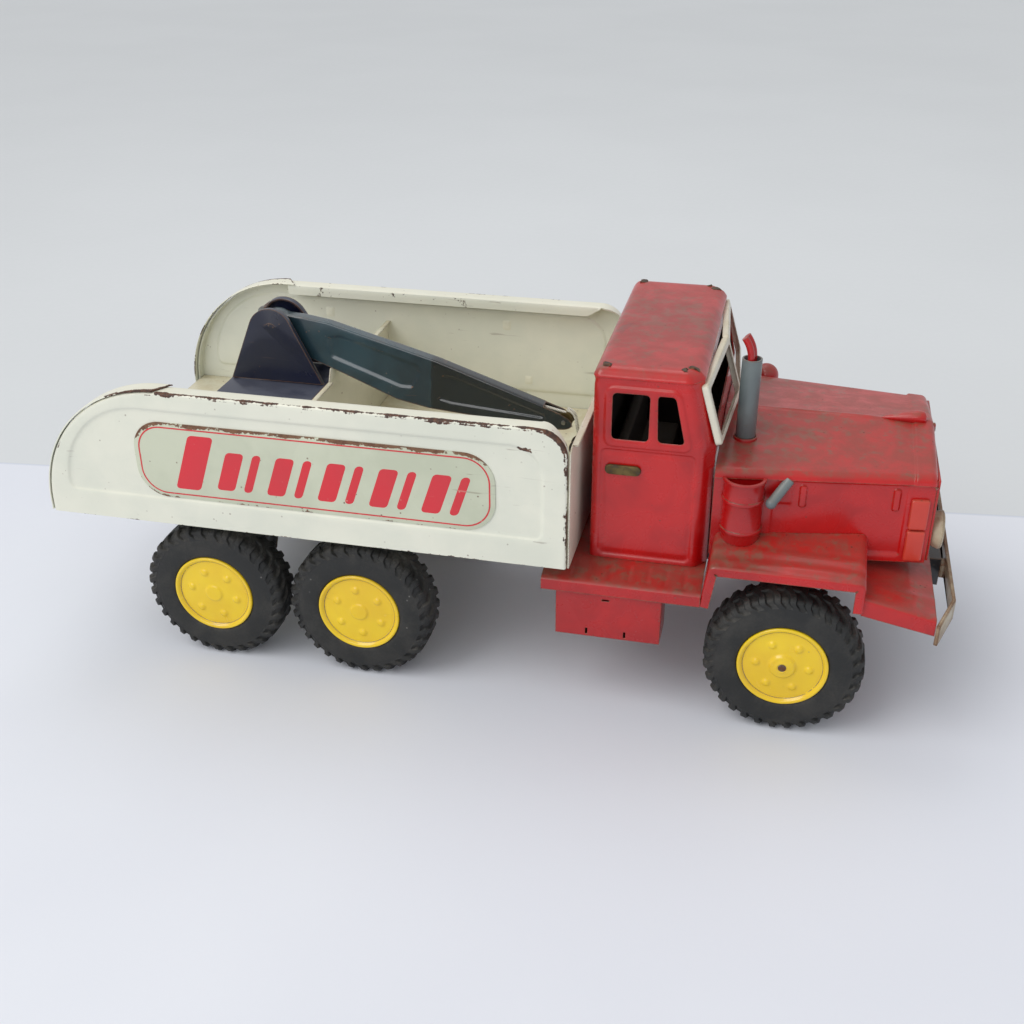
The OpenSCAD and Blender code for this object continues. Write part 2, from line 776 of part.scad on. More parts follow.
// Flat bar with both ends bent back
module bumper() {
    bar_t = 1.6;
    face = 204.3;
    straight = 53;
    end_x = 196.4;
    end_y = 76;
    lean = (face - end_x) / (end_y - straight);
    back = bar_t / cos(atan(lean));
    color("#c4b698") translate([0, 0, 54.5]) linear_extrude(9.5) polygon([
        [face, -straight], [end_x, -end_y], [end_x - back * 0.9, -end_y + 0.7],
        [face - bar_t, -straight + 0.4], [face - bar_t, straight - 0.4],
        [end_x - back * 0.9, end_y - 0.7], [end_x, end_y], [face, straight]]);
    color("#202124") for (side = [-1, 1]) on_side(side)
        box([200.4, -chassis_half, 55], [face - bar_t, -chassis_half + 6, 62]);
}

// Open half drum that stands on the right fender against the hood
module half_drum() {
    outer = 8.6;
    top = 113.2;
    bands = [89.5, 103.5];
    color("#b02424") difference() {
        translate([drum_x, -hood_half(drum_x) - 0.15, 0]) rotate(hood_taper) intersection() {
            difference() {
                union() {
                    translate([0, 0, 76]) cylinder(h = top - 76, r = outer);
                    translate([0, 0, top - 1.2]) cylinder(h = 1.2, r = outer + 0.7);
                    for (z = bands) translate([0, 0, z - 0.8]) cylinder(h = 1.6, r = outer + 0.5);
                }
                translate([0, 0, 84]) cylinder(h = 40, r = outer - t);
            }
            box([-20, -20, 70], [20, 0, 130]);
        }
        below_fender();
    }
}

// Everything under the top of the right fender
module below_fender() {
    translate([0, -fender_half, fender_edge_z + 0.1]) rotate([fender_slope, 0, 0])
        box([80, -20, -30], [150, 60, 0]);
}

module duct_run(d) {
    way = duct_end - duct_start;
    translate(duct_start) sphere(d = d + 0.4);
    translate(duct_start) rotate([0, acos(way[2] / norm(way)), atan2(way[1], way[0])])
        cylinder(h = norm(way) + 1.5, d = d);
}

module duct_pipe() {
    color("#6b7676") duct_run(duct_d);
}

module exhaust_stack() {
    floor_t = 2;
    color("#6a7577") translate([stack_c[0], stack_c[1], stack_base]) difference() {
        cylinder(h = stack_top - stack_base, d = stack_d);
        translate([0, 0, floor_t]) cylinder(h = 60, d = stack_d - 2 * t);
    }
}

// Two bent tail pipes on one plug that sits in the stack
module exhaust_tips() {
    pipe_d = 3;
    bend_r = 16;
    plug_z = stack_base + 2;
    color("#b42424") translate([stack_c[0], stack_c[1], plug_z]) {
        cylinder(h = 2, d = stack_d - 2 * t - 0.2);
        for (side = [-1, 1]) translate([side * 0.4, side * 1.6, 0]) {
            cylinder(h = stack_top - plug_z - 0.5, d = pipe_d);
            translate([-bend_r, 0, stack_top - plug_z - 0.5]) rotate([90, 0, 0])
                rotate_extrude(angle = 38) translate([bend_r, 0]) circle(d = pipe_d, $fn = 24);
        }
    }
}

// Capped air cleaner on the left fender
module air_cleaner() {
    r = 5.6;
    c = [114.3, hood_half(114.3) + r + 0.5];
    shoulder = 111.5;
    color("#a82424") difference() {
        translate([c[0], c[1], 0]) {
            translate([0, 0, 76]) cylinder(h = shoulder - 76, r = r);
            rotate_extrude($fn = 64) polygon(concat([[0, shoulder], [r + 0.4, shoulder],
                [r + 0.4, shoulder + 2]], arc([0, shoulder + 2], r + 0.4, 0, 90, 10)));
        }
        mirror([0, 1, 0]) below_fender();
    }
}

// Pressed box that hangs under a running board; its top follows the board
module toolbox_section(inset) {
    low = 37.3 + inset;
    outer = -75.5 + inset;
    inner = -58 - inset;
    top_up = inset > 0 ? 2 : -0.1;
    slope = (cab_bottom - 0.1 - board_edge_z) / (fender_half - board_flat_half);
    polygon([[outer, low], [inner, low], [inner, cab_bottom - 0.1 - t + top_up],
        [-board_flat_half, cab_bottom - 0.1 - t + top_up],
        [outer, board_edge_z - t - 0.1 + slope * (fender_half + outer) + top_up]]);
}

module toolbox(side) {
    rear = 35.5;
    front = 82;
    face = -75.5;
    color("#b82828") on_side(side) difference() {
        bar_yz(rear, front - rear) toolbox_section(0);
        bar_yz(rear + t, front - rear - 2 * t) toolbox_section(t);
        for (x = [49, 66]) box([x, face - 1, 38.4], [x + 0.9, face + 2, 41.4]);
        box([56, face - 1, 56.4], [59.2, face + 2, 57.2]);
    }
}

// ---------- the nodes ----------

tyre(front_x, -1);  // tyre_front_right
tyre(front_x, 1);  // tyre_front_left
tyre(middle_x, -1);  // tyre_middle_right
tyre(middle_x, 1);  // tyre_middle_left
tyre(rear_x, -1);  // tyre_rear_right
tyre(rear_x, 1);  // tyre_rear_left
wheel(front_x, -1, true);  // wheel_front_right
wheel(front_x, 1, true);  // wheel_front_left
wheel(middle_x, -1, false);  // wheel_middle_right
wheel(middle_x, 1, false);  // wheel_middle_left
wheel(rear_x, -1, false);  // wheel_rear_right
wheel(rear_x, 1, false);  // wheel_rear_left
axle(front_x, track_outer + 1.2);  // axle_front
axle(middle_x, track_outer - 4.4);  // axle_middle
axle(rear_x, track_outer - 4.4);  // axle_rear
hanger([front_x], 14, chassis_front_z - 1);  // front_axle_bracket
hanger([rear_x, middle_x], 16, bed_floor_z - 1);  // bogie_bracket
chassis_frame();
bed_floor();
side_panel(-1);  // side_panel_right
side_panel(1);  // side_panel_left
edge_strip(-1);  // edge_strip_right
edge_strip(1);  // edge_strip_left
label_plate(-1);  // label_plate_right
label_plate(1);  // label_plate_left
bulkhead();
cross_wall();
tower_base();
tower_cheek(-1, false);  // tower_cheek_right
tower_cheek(1, true);  // tower_cheek_left
boom();
sheave_pin();
tip_sheave();
winch_drum();
winch_crank();
hoist_cord();
cord_falls();
hook_block();
hook();
cab_shell();
windshield_frame();
seat();
steering_wheel();
door_handle(-1);  // door_handle_right
door_handle(1);  // door_handle_left
hood();
grille();
headlamp(-1);  // headlamp_right
headlamp(1);  // headlamp_left
fender_pan();
bumper();
half_drum();
duct_pipe();
exhaust_stack();
exhaust_tips();
air_cleaner();
toolbox(-1);  // toolbox_right
toolbox(1);  // toolbox_left
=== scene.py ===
"""Looks of the six-wheel pressed-tin service truck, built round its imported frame."""
import json
import math

import bpy
import bmesh
import numpy as np
from mathutils import Matrix, Vector, geometry

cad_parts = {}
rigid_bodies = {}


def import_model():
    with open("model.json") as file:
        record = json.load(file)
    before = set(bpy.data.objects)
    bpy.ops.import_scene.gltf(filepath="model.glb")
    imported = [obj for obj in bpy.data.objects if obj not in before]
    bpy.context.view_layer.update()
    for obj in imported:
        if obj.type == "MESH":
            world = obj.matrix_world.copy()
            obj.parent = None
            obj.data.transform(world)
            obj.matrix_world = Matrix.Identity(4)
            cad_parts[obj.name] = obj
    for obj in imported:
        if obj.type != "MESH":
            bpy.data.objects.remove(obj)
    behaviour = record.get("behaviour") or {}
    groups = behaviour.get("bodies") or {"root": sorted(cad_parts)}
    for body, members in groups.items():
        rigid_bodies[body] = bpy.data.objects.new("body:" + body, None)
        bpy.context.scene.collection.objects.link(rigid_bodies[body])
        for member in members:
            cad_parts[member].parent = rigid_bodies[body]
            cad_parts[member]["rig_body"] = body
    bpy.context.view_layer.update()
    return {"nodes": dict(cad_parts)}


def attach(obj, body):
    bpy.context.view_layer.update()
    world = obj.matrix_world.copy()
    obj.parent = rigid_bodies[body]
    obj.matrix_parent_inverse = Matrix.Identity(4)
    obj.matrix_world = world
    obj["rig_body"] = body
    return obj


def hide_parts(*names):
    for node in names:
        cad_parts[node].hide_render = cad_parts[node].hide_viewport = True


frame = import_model()
NODES = frame["nodes"]
MM = 0.001
TIN, PLATE = 0.7, 0.35


# ---------- materials ----------

def srgb(r, g, b):
    """8-bit display colour as a linear colour."""
    def lin(c):
        c = c / 255
        return c / 12.92 if c <= 0.04045 else ((c + 0.055) / 1.055) ** 2.4
    return (lin(r), lin(g), lin(b), 1.0)


class Graph:
    """A Principled material under construction, with short calls for the usual nodes."""

    def __init__(self, name):
        self.mat = bpy.data.materials.new(name)
        self.mat.use_nodes = True
        self.tree = self.mat.node_tree
        self.tree.nodes.clear()
        self.out = self.tree.nodes.new("ShaderNodeOutputMaterial")
        self.bsdf = self.tree.nodes.new("ShaderNodeBsdfPrincipled")
        self.tree.links.new(self.bsdf.outputs[0], self.out.inputs[0])
        self.place = self.tree.nodes.new("ShaderNodeTexCoord").outputs["Object"]
        self.geo = self.tree.nodes.new("ShaderNodeNewGeometry")

    def put(self, socket, value):
        if hasattr(value, "is_output"):
            self.tree.links.new(value, socket)
        else:
            socket.default_value = value

    def calc(self, op, a, b=0.0, clamp=False):
        n = self.tree.nodes.new("ShaderNodeMath")
        n.operation = op
        n.use_clamp = clamp
        self.put(n.inputs[0], a)
        self.put(n.inputs[1], b)
        return n.outputs[0]

    def times(self, a, b):
        return self.calc("MULTIPLY", a, b)

    def plus(self, a, b, clamp=False):
        return self.calc("ADD", a, b, clamp)

    def ramp(self, value, low, high, to_low=0.0, to_high=1.0):
        n = self.tree.nodes.new("ShaderNodeMapRange")
        n.interpolation_type = "SMOOTHSTEP"
        for name, v in (("Value", value), ("From Min", low), ("From Max", high),
                        ("To Min", to_low), ("To Max", to_high)):
            self.put(n.inputs[name], v)
        return n.outputs[0]

    def mix(self, factor, a, b):
        n = self.tree.nodes.new("ShaderNodeMix")
        n.data_type = "RGBA"
        self.put(n.inputs[0], factor)
        self.put(n.inputs[6], a)
        self.put(n.inputs[7], b)
        return n.outputs[2]

    def noise(self, scale, detail=3.0, rough=0.55, stretch=None, warp=0.0):
        n = self.tree.nodes.new("ShaderNodeTexNoise")
        source = self.place
        if stretch:
            m = self.tree.nodes.new("ShaderNodeMapping")
            self.put(m.inputs["Vector"], source)
            m.inputs["Scale"].default_value = stretch
            source = m.outputs[0]
        self.put(n.inputs["Vector"], source)
        n.inputs["Scale"].default_value = scale
        n.inputs["Detail"].default_value = detail
        n.inputs["Roughness"].default_value = rough
        n.inputs["Distortion"].default_value = warp
        return n.outputs[0]

    def cells(self, scale):
        n = self.tree.nodes.new("ShaderNodeTexVoronoi")
        self.put(n.inputs["Vector"], self.place)
        n.inputs["Scale"].default_value = scale
        return n.outputs["Distance"]

    def axis(self, vector, which):
        n = self.tree.nodes.new("ShaderNodeSeparateXYZ")
        self.put(n.inputs[0], vector)
        return n.outputs[which]

    def attribute(self, name):
        n = self.tree.nodes.new("ShaderNodeAttribute")
        n.attribute_name = name
        return n.outputs["Fac"]

    def edges(self, radius):
        """1 where the surface turns a corner within the radius, 0 on its flats."""
        n = self.tree.nodes.new("ShaderNodeBevel")
        n.samples = 4
        n.inputs["Radius"].default_value = radius
        d = self.tree.nodes.new("ShaderNodeVectorMath")
        d.operation = "DOT_PRODUCT"
        self.put(d.inputs[0], n.outputs[0])
        self.put(d.inputs[1], self.geo.outputs["True Normal"])
        return self.ramp(self.calc("SUBTRACT", 1.0, d.outputs["Value"]), 0.01, 0.14)

    def bump(self, height, strength, distance):
        n = self.tree.nodes.new("ShaderNodeBump")
        n.inputs["Strength"].default_value = strength
        n.inputs["Distance"].default_value = distance
        self.put(n.inputs["Height"], height)
        self.put(self.bsdf.inputs["Normal"], n.outputs[0])

    def set(self, **values):
        for name, v in values.items():
            self.put(self.bsdf.inputs[name.replace("_", " ")], v)


def paint(name, base, shade, dusty, dust, rough, chip, chips, specks, coat=0.25, worn=False,
          dust_floor=0.0, edge_radius=0.0008, under=None, dirt=0.0, darker_from=None):
    """Old stove enamel on tin: blotchy colour, dust on what faces up, brown specks, chipped edges."""
    g = Graph(name)
    broad = g.noise(16, 3)
    mid = g.noise(85, 4, warp=0.4)
    fine = g.noise(620, 4, 0.6)
    grit = g.noise(2600, 2)
    streak = g.noise(150, 3, stretch=(0.25, 0.25, 3.0), warp=0.6)
    colour = g.mix(g.ramp(g.plus(g.times(broad, 0.7), g.times(mid, 0.3)),
                          0.38, 0.64), base, shade)
    up = g.ramp(g.axis(g.geo.outputs["Normal"], 2), 0.25, 0.9, dust_floor, 1.0)
    lay = g.ramp(g.plus(g.times(mid, 0.75), g.times(fine, 0.3)),
                 0.36, 0.66, 0.42, 1.0)
    dust_mask = g.times(g.times(up, lay), dust)
    colour = g.mix(dust_mask, colour, dusty)
    # painted shade: past darker_from along x the colour turns near-black, the boom's front half in shade
    if darker_from is not None:
        colour = g.mix(g.ramp(g.axis(g.place, 0), darker_from, darker_from + 0.002, 0.0, 0.85), colour, PAINTED_SHADE)
    if dirt:
        patch = g.plus(g.times(broad, 0.35), g.times(g.noise(210, 5, 0.62), 0.65))
        patch = g.times(g.ramp(patch, 0.49, 0.62), g.times(up, dirt))
        colour = g.mix(patch, colour, GRIME)
    speck = g.times(g.ramp(g.cells(330), 0.19, 0.1), g.ramp(g.noise(140, 2), 0.56, 0.68))
    speck = g.times(speck, specks)
    colour = g.mix(speck, colour, chip)
    scratch = g.times(g.ramp(streak, 0.66, 0.7), g.ramp(broad, 0.5, 0.6))
    colour = g.mix(g.times(scratch, 0.35 * min(1.0, specks * 2)), colour, chip)
    edge = g.attribute("wear") if worn else g.edges(edge_radius)
    rough_edge = g.plus(g.times(mid, 1.5), g.times(fine, 0.8))
    lost = g.plus(g.times(edge, 1.0), g.calc("SUBTRACT", rough_edge, 1.15))
    lost = g.times(g.ramp(lost, 0.86 - 0.55 * chips, 0.96 - 0.55 * chips),
                  g.ramp(edge, 0.02, 0.2))
    rust = g.mix(g.ramp(fine, 0.4, 0.6), chip, under or srgb(120, 84, 58))
    colour = g.mix(lost, colour, rust)
    rough_now = g.plus(rough, g.times(dust_mask, 0.34))
    rough_now = g.plus(rough_now, g.times(g.calc("MAXIMUM", lost, speck), 0.35))
    rough_now = g.plus(rough_now, g.times(g.calc("SUBTRACT", mid, 0.5), 0.18), True)
    g.set(Base_Color=colour, Roughness=rough_now)
    g.set(Coat_Weight=coat, Coat_Roughness=0.12)
    height = g.plus(g.times(broad, 1.1), g.times(fine, 0.10))
    height = g.plus(height, g.times(grit, 0.04))
    height = g.calc("SUBTRACT", height, g.times(lost, 0.16))
    g.bump(height, 0.35, 0.0009)
    return g.mat


def rubber():
    g = Graph("tyre_rubber")
    mid = g.noise(70, 4, warp=0.5)
    fine = g.noise(900, 4, 0.6)
    colour = g.mix(g.ramp(mid, 0.35, 0.7), srgb(34, 35, 35), srgb(47, 47, 46))
    dust = g.times(g.ramp(g.axis(g.geo.outputs["Normal"], 2), 0.0, 0.9, 0.25, 1.0),
                  g.ramp(g.plus(g.times(mid, 0.6), g.times(fine, 0.4)),
                         0.42, 0.66))
    colour = g.mix(g.times(dust, 0.5), colour, srgb(92, 88, 82))
    nick = g.times(g.ramp(g.cells(210), 0.12, 0.05), g.ramp(g.noise(60, 2), 0.55, 0.62))
    colour = g.mix(g.times(nick, 0.5), colour, srgb(140, 138, 134))
    g.set(Base_Color=colour, Roughness=g.ramp(mid, 0.3, 0.7, 0.52, 0.72))
    g.set(Specular_IOR_Level=0.4)
    g.bump(g.plus(g.times(fine, 0.5), mid), 0.3, 0.0004)
    return g.mat


def metal(name, light, dark, rust, amount, rough):
    g = Graph(name)
    mid = g.noise(120, 4, warp=0.5)
    fine = g.noise(900, 4, 0.6)
    colour = g.mix(g.ramp(mid, 0.35, 0.65), light, dark)
    spot = g.ramp(g.plus(g.times(mid, 0.6), g.times(fine, 0.4)),
                  0.62 - 0.2 * amount, 0.7 - 0.2 * amount)
    colour = g.mix(spot, colour, rust)
    g.set(Base_Color=colour, Metallic=g.ramp(spot, 0, 1, 0.85, 0.1),
          Roughness=g.ramp(spot, 0, 1, rough, 0.75))
    g.bump(g.plus(g.times(fine, 0.5), g.times(spot, 0.5)), 0.4, 0.0003)
    return g.mat


def string():
    g = Graph("cotton_cord")
    w = g.tree.nodes.new("ShaderNodeTexWave")
    w.bands_direction = "DIAGONAL"
    g.put(w.inputs["Vector"], g.place)
    w.inputs["Scale"].default_value = 520
    w.inputs["Distortion"].default_value = 1.2
    fine = g.noise(1500, 3)
    colour = g.mix(g.ramp(w.outputs["Fac"], 0.1, 0.8), srgb(178, 174, 160), srgb(238, 236, 226))
    colour = g.mix(g.ramp(g.noise(90, 3), 0.5, 0.7, 0, 0.5), colour, srgb(150, 140, 118))
    g.set(Base_Color=colour, Roughness=g.ramp(fine, 0.3, 0.7, 0.75, 0.95))
    g.set(Sheen_Weight=0.3)
    g.bump(g.plus(w.outputs["Fac"], g.times(fine, 0.4)), 0.6, 0.0003)
    return g.mat


RUST = srgb(98, 62, 42)
GRIME = srgb(124, 82, 64)
# near-black for the painted shade on the boom's front half
PAINTED_SHADE = srgb(14, 16, 18)
DARK_RUST = srgb(64, 42, 32)
RED = dict(base=srgb(192, 15, 15), shade=srgb(160, 12, 14), dusty=srgb(142, 62, 50),
           rough=0.28, chip=srgb(84, 46, 32), coat=0.32)
MATS = {
    "cream": paint("cream_enamel", srgb(228, 228, 212), srgb(218, 220, 205), srgb(226, 220, 198), 0.5,
                   0.34, RUST, 0.42, 0.55, worn=True, under=DARK_RUST),
    "cream_trim": paint("cream_trim_enamel", srgb(226, 223, 206), srgb(212, 208, 190),
                        srgb(196, 184, 156), 0.7, 0.38, RUST, 0.75, 0.9, edge_radius=0.0007),
    # a lit copy of the cream: its lighter base is painted light on the inner faces, its dust and specks are
    # real dirt
    "cream_inside": paint("cream_inner_enamel", srgb(236, 235, 216), srgb(224, 223, 204),
                          srgb(205, 193, 160), 0.8, 0.42, RUST, 0.6, 1.0, edge_radius=0.0006),
    "label": paint("label_enamel", srgb(203, 207, 184), srgb(190, 195, 172), srgb(196, 190, 165), 0.4,
                   0.4, RUST, 0.62, 1.0, worn=True),
    "label_red": paint("label_red_enamel", srgb(214, 40, 52), srgb(205, 46, 56), srgb(200, 90, 90),
                       0.3, 0.38, srgb(200, 170, 150), 0.1, 0.7, coat=0.15),
    "red": paint("red_enamel", dust=0.5, chips=0.42, specks=0.5, dirt=0.55, **RED),
    "red_drum": paint("red_drum_enamel", dust=0.4, chips=0.06, specks=0.3, edge_radius=0.0004, **RED),
    "red_dusty": paint("red_enamel_dusty", dust=0.8, chips=0.66, specks=0.9, dirt=0.75,
                       under=srgb(120, 92, 66), **RED),
    "red_orange": paint("orange_red_enamel", srgb(206, 62, 44), srgb(192, 52, 40), srgb(170, 96, 80),
                        0.5, 0.34, srgb(120, 70, 50), 0.5, 0.7),
    "navy": paint("navy_enamel", srgb(16, 22, 50), srgb(20, 24, 44), srgb(74, 78, 92), 0.7, 0.3,
                  srgb(110, 84, 60), 0.42, 0.5, coat=0.4),
    # the boom's front half is painted near-black as shade
    "boom": paint("teal_grey_enamel", srgb(46, 70, 80), srgb(34, 50, 58), srgb(84, 92, 92), 0.4, 0.2,
                  srgb(96, 70, 52), 0.72, 0.5, coat=0.8, darker_from=-0.041, edge_radius=0.001),
    "black": paint("black_enamel", srgb(30, 31, 35), srgb(24, 25, 30), srgb(92, 86, 80), 0.5, 0.35,
                   srgb(92, 70, 54), 0.4, 0.5),
    "yellow": paint("yellow_enamel", srgb(240, 204, 6), srgb(232, 190, 6), srgb(196, 168, 60), 0.25,
                    0.24, srgb(120, 96, 40), 0.3, 0.5, coat=0.6, edge_radius=0.0005),
    "grey": paint("grey_enamel", srgb(112, 122, 122), srgb(98, 108, 110), srgb(140, 132, 120), 0.4,
                  0.4, srgb(104, 82, 60), 0.6, 0.6),
    "aged": paint("rusted_cream_enamel", srgb(196, 186, 158), srgb(140, 116, 88), srgb(120, 92, 66),
                  0.9, 0.5, srgb(92, 62, 42), 1.15, 1.0, dust_floor=0.45, edge_radius=0.0016),
    "inside_dark": paint("bare_inside", srgb(58, 48, 42), srgb(40, 34, 32), srgb(96, 84, 70), 0.6,
                         0.6, srgb(90, 66, 50), 0.4, 0.5, coat=0.0),
    "rubber": rubber(),
    "steel": metal("bare_steel", srgb(150, 150, 146), srgb(110, 108, 104), RUST, 0.5, 0.38),
    "brass": metal("aged_brass", srgb(120, 104, 66), srgb(84, 72, 48), srgb(74, 62, 46), 0.5, 0.45),
    "string": string(),
}


# ---------- mesh helpers ----------

def make(name, verts, faces, mat, slot, body="truck", replaces=(), sharp=32.0, out=None, solid=0.0,
         bevel=0.0, wear=None, mirror=False, inner=None):
    """A piece from points in millimetres. out is the way its faces look, solid its sheet thickness."""
    bm = bmesh.new()
    layer = bm.verts.layers.float.new("wear")
    made = [bm.verts.new(Vector(p) * MM) for p in verts]
    if wear is not None:
        for v, w in zip(made, wear):
            v[layer] = w
    for f in faces:
        corner = [made[i] for i in f]
        if len(set(corner)) >= 3:
            try:
                bm.faces.new(corner)
            except ValueError:
                pass
    bmesh.ops.remove_doubles(bm, verts=bm.verts, dist=2e-6)
    loose = [v for v in bm.verts if not v.link_faces]
    bmesh.ops.delete(bm, geom=loose, context="VERTS")
    bmesh.ops.recalc_face_normals(bm, faces=bm.faces)
    if out is not None:
        total = Vector((0, 0, 0))
        for f in bm.faces:
            total += f.normal * f.calc_area()
        if total.dot(Vector(out)) < 0:
            bmesh.ops.reverse_faces(bm, faces=bm.faces)
    if mirror:
        bmesh.ops.scale(bm, vec=(1, -1, 1), verts=bm.verts)
        bmesh.ops.reverse_faces(bm, faces=bm.faces)
    mesh = bpy.data.meshes.new(name)
    bm.to_mesh(mesh)
    bm.free()
    piece = bpy.data.objects.new(name, mesh)
    bpy.context.scene.collection.objects.link(piece)
    mesh.materials.append(MATS[mat])
    if inner:
        mesh.materials.append(MATS[inner])
    if solid:
        m = piece.modifiers.new("sheet", "SOLIDIFY")
        m.thickness = solid * MM
        m.offset = -1
        m.use_even_offset = False
        if inner:
            m.material_offset = 1
    finishing(piece, bevel, sharp)
    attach(piece, body)
    if replaces:
        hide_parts(*replaces)
    return piece


def finishing(piece, bevel, sharp):
    """Applies the piece's modifiers, rounds its corners and smooths what isn't a corner."""
    if bevel:
        m = piece.modifiers.new("round", "BEVEL")
        m.width = bevel * MM
        m.segments = 2
        m.limit_method = "ANGLE"
        m.angle_limit = math.radians(38)
        m.use_clamp_overlap = True
    if piece.modifiers:
        done = bpy.data.meshes.new_from_object(
            piece.evaluated_get(bpy.context.evaluated_depsgraph_get()))
        done.name = piece.data.name
        piece.modifiers.clear()
        piece.data = done
    mesh = piece.data
    mesh.shade_smooth()
    mesh.set_sharp_from_angle(angle=math.radians(sharp))


def dress(node, mat, bevel=0.25, sharp=32.0):
    """The CAD node again as a piece with joined faces and rounded corners, in its material."""
    source = NODES[node]
    body = source["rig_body"]
    bm = bmesh.new()
    bm.from_mesh(source.data)
    bmesh.ops.remove_doubles(bm, verts=bm.verts, dist=1e-6)
    bmesh.ops.dissolve_limit(bm, angle_limit=math.radians(0.6), verts=bm.verts, edges=bm.edges)
    bmesh.ops.recalc_face_normals(bm, faces=bm.faces)
    mesh = bpy.data.meshes.new(node + "_skin")
    bm.to_mesh(mesh)
    bm.free()
    piece = bpy.data.objects.new(mesh.name, mesh)
    bpy.context.scene.collection.objects.link(piece)
    mesh.materials.append(MATS[mat])
    finishing(piece, bevel, sharp)
    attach(piece, body)
    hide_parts(node)
    return piece


def word(side):
    return "right" if side < 0 else "left"


def strips(rows, closed_rows=False, closed_cols=False):
    """Faces between rows of points, and the flat list of the points."""
    n = len(rows[0])
    verts = [p for row in rows for p in row]
    faces = []
    for i in range(len(rows) - (0 if closed_rows else 1)):
        k = (i + 1) % len(rows)
        for j in range(n - (0 if closed_cols else 1)):
            m = (j + 1) % n
            faces.append((i * n + j, i * n + m, k * n + m, k * n + j))
    return verts, faces


def join(points, faces, more, more_faces):
    """Adds a second patch of points and faces to the first."""
    n = len(points)
    points += more
    faces += [tuple(i + n for i in f) for f in more_faces]


def arc(c, r, a0, a1, n):
    return [(c[0] + r * math.cos(math.radians(a0 + (a1 - a0) * i / n)),
             c[1] + r * math.sin(math.radians(a0 + (a1 - a0) * i / n))) for i in range(n + 1)]


def spaced(path, step, closed=False):
    """The path again with a point about every step, its corners kept."""
    found = []
    n = len(path)
    for i in range(n if closed else n - 1):
        a, b = np.array(path[i], float), np.array(path[(i + 1) % n], float)
        k = max(1, int(round(np.linalg.norm(b - a) / step)))
        found += [tuple(a + (b - a) * j / k) for j in range(k)]
    return found if closed else found + [tuple(path[-1])]


def rrect(x0, y0, x1, y1, r, step=1.2):
    """Counter-clockwise rectangle with round corners; r is one radius, or four from the lower left on."""
    r = [r] * 4 if not hasattr(r, "__len__") else r
    n = [max(3, int(a / step * 1.6)) for a in r]
    path = (arc((x0 + r[0], y0 + r[0]), r[0], 180, 270, n[0])
            + arc((x1 - r[1], y0 + r[1]), r[1], 270, 360, n[1])
            + arc((x1 - r[2], y1 - r[2]), r[2], 0, 90, n[2])
            + arc((x0 + r[3], y1 - r[3]), r[3], 90, 180, n[3]))
    return spaced(path, step, True)


def normals(path, closed=False):
    p = np.array(path, float)
    if closed:
        d = np.roll(p, -1, 0) - np.roll(p, 1, 0)
    else:
        d = np.gradient(p, axis=0)
    d /= np.linalg.norm(d, axis=1)[:, None]
    return np.stack([-d[:, 1], d[:, 0]], 1)


def inside(points, loop):
    x, y = points[:, 0], points[:, 1]
    hit = np.zeros(len(points), bool)
    for i in range(len(loop)):
        (x0, y0), (x1, y1) = loop[i], loop[(i + 1) % len(loop)]
        if y0 != y1:
            hit ^= ((y0 > y) != (y1 > y)) & (x < (x1 - x0) * (y - y0) / (y1 - y0) + x0)
    return hit


def distance(points, path, closed=True):
    best = np.full(len(points), 1e9)
    p = np.array(path, float)
    for i in range(len(p) if closed else len(p) - 1):
        a, b = p[i], p[(i + 1) % len(p)]
        d = b - a
        size = d @ d
        if size < 1e-12:
            continue
        t = np.clip(((points - a) @ d) / size, 0, 1)
        best = np.minimum(best, np.linalg.norm(points - a - t[:, None] * d, axis=1))
    return best


def depth_in(points, loop):
    """Distance to the loop, above 0 inside it."""
    return np.where(inside(points, loop), 1, -1) * distance(points, loop)


def smooth(x, low, high):
    t = np.clip((np.asarray(x, float) - low) / (high - low), 0, 1)
    return t * t * (3 - 2 * t)


def ease(x, low, high):
    """The smooth step of one number, as a plain float."""
    return float(smooth(x, low, high))


def flat_sheet(outline, holes=(), step=1.0, lines=()):
    """Even triangles that fill an outline with holes; lines are extra loops or paths to follow closely."""
    loops = [list(outline)] + [list(h) for h in holes]
    p = np.array(outline, float)
    lo, hi = p.min(0), p.max(0)
    rows = np.arange(lo[1], hi[1], step * 0.866)
    grid = np.array([(x + (0.5 * step if i % 2 else 0), y) for i, y in enumerate(rows)
                     for x in np.arange(lo[0], hi[0], step)])
    extra = np.zeros((0, 2))
    for path, closed, width in lines:
        fine = np.array(spaced(path, step * 0.8, closed), float)
        side = normals(fine, closed)
        for k in (-1.0, -0.5, 0.0, 0.5, 1.0):
            extra = np.vstack([extra, fine + side * width * k])
        grid = grid[distance(grid, path, closed) > width + step * 0.45]
    grid = np.vstack([grid, extra])
    keep = inside(grid, outline)
    for h in holes:
        keep &= ~inside(grid, h)
    for loop in loops:
        keep &= distance(grid, loop) > step * 0.35
    grid = grid[keep]
    points, rim = [], []
    for loop in loops:
        first = len(points)
        points += [Vector(q) for q in loop]
        rim += [(first + i, first + (i + 1) % len(loop)) for i in range(len(loop))]
    points += [Vector(q) for q in grid]
    verts, _, faces, *_ = geometry.delaunay_2d_cdt(points, rim, [], 0, 1e-5)
    verts = np.array([tuple(v) for v in verts], float)
    tri = np.array([f for f in faces if len(f) == 3])
    centre = verts[tri].mean(1)
    keep = inside(centre, outline)
    for h in holes:
        keep &= ~inside(centre, h)
    return verts, [tuple(int(i) for i in f) for f in tri[keep]]


# ---------- camera, light, ground ----------

CAMERA_PLACE, CAMERA_LENS, CAMERA_ANGLES = (0.1232, -0.5289, 0.3498), 43.64, (13.3065, 28.585, -0.251)


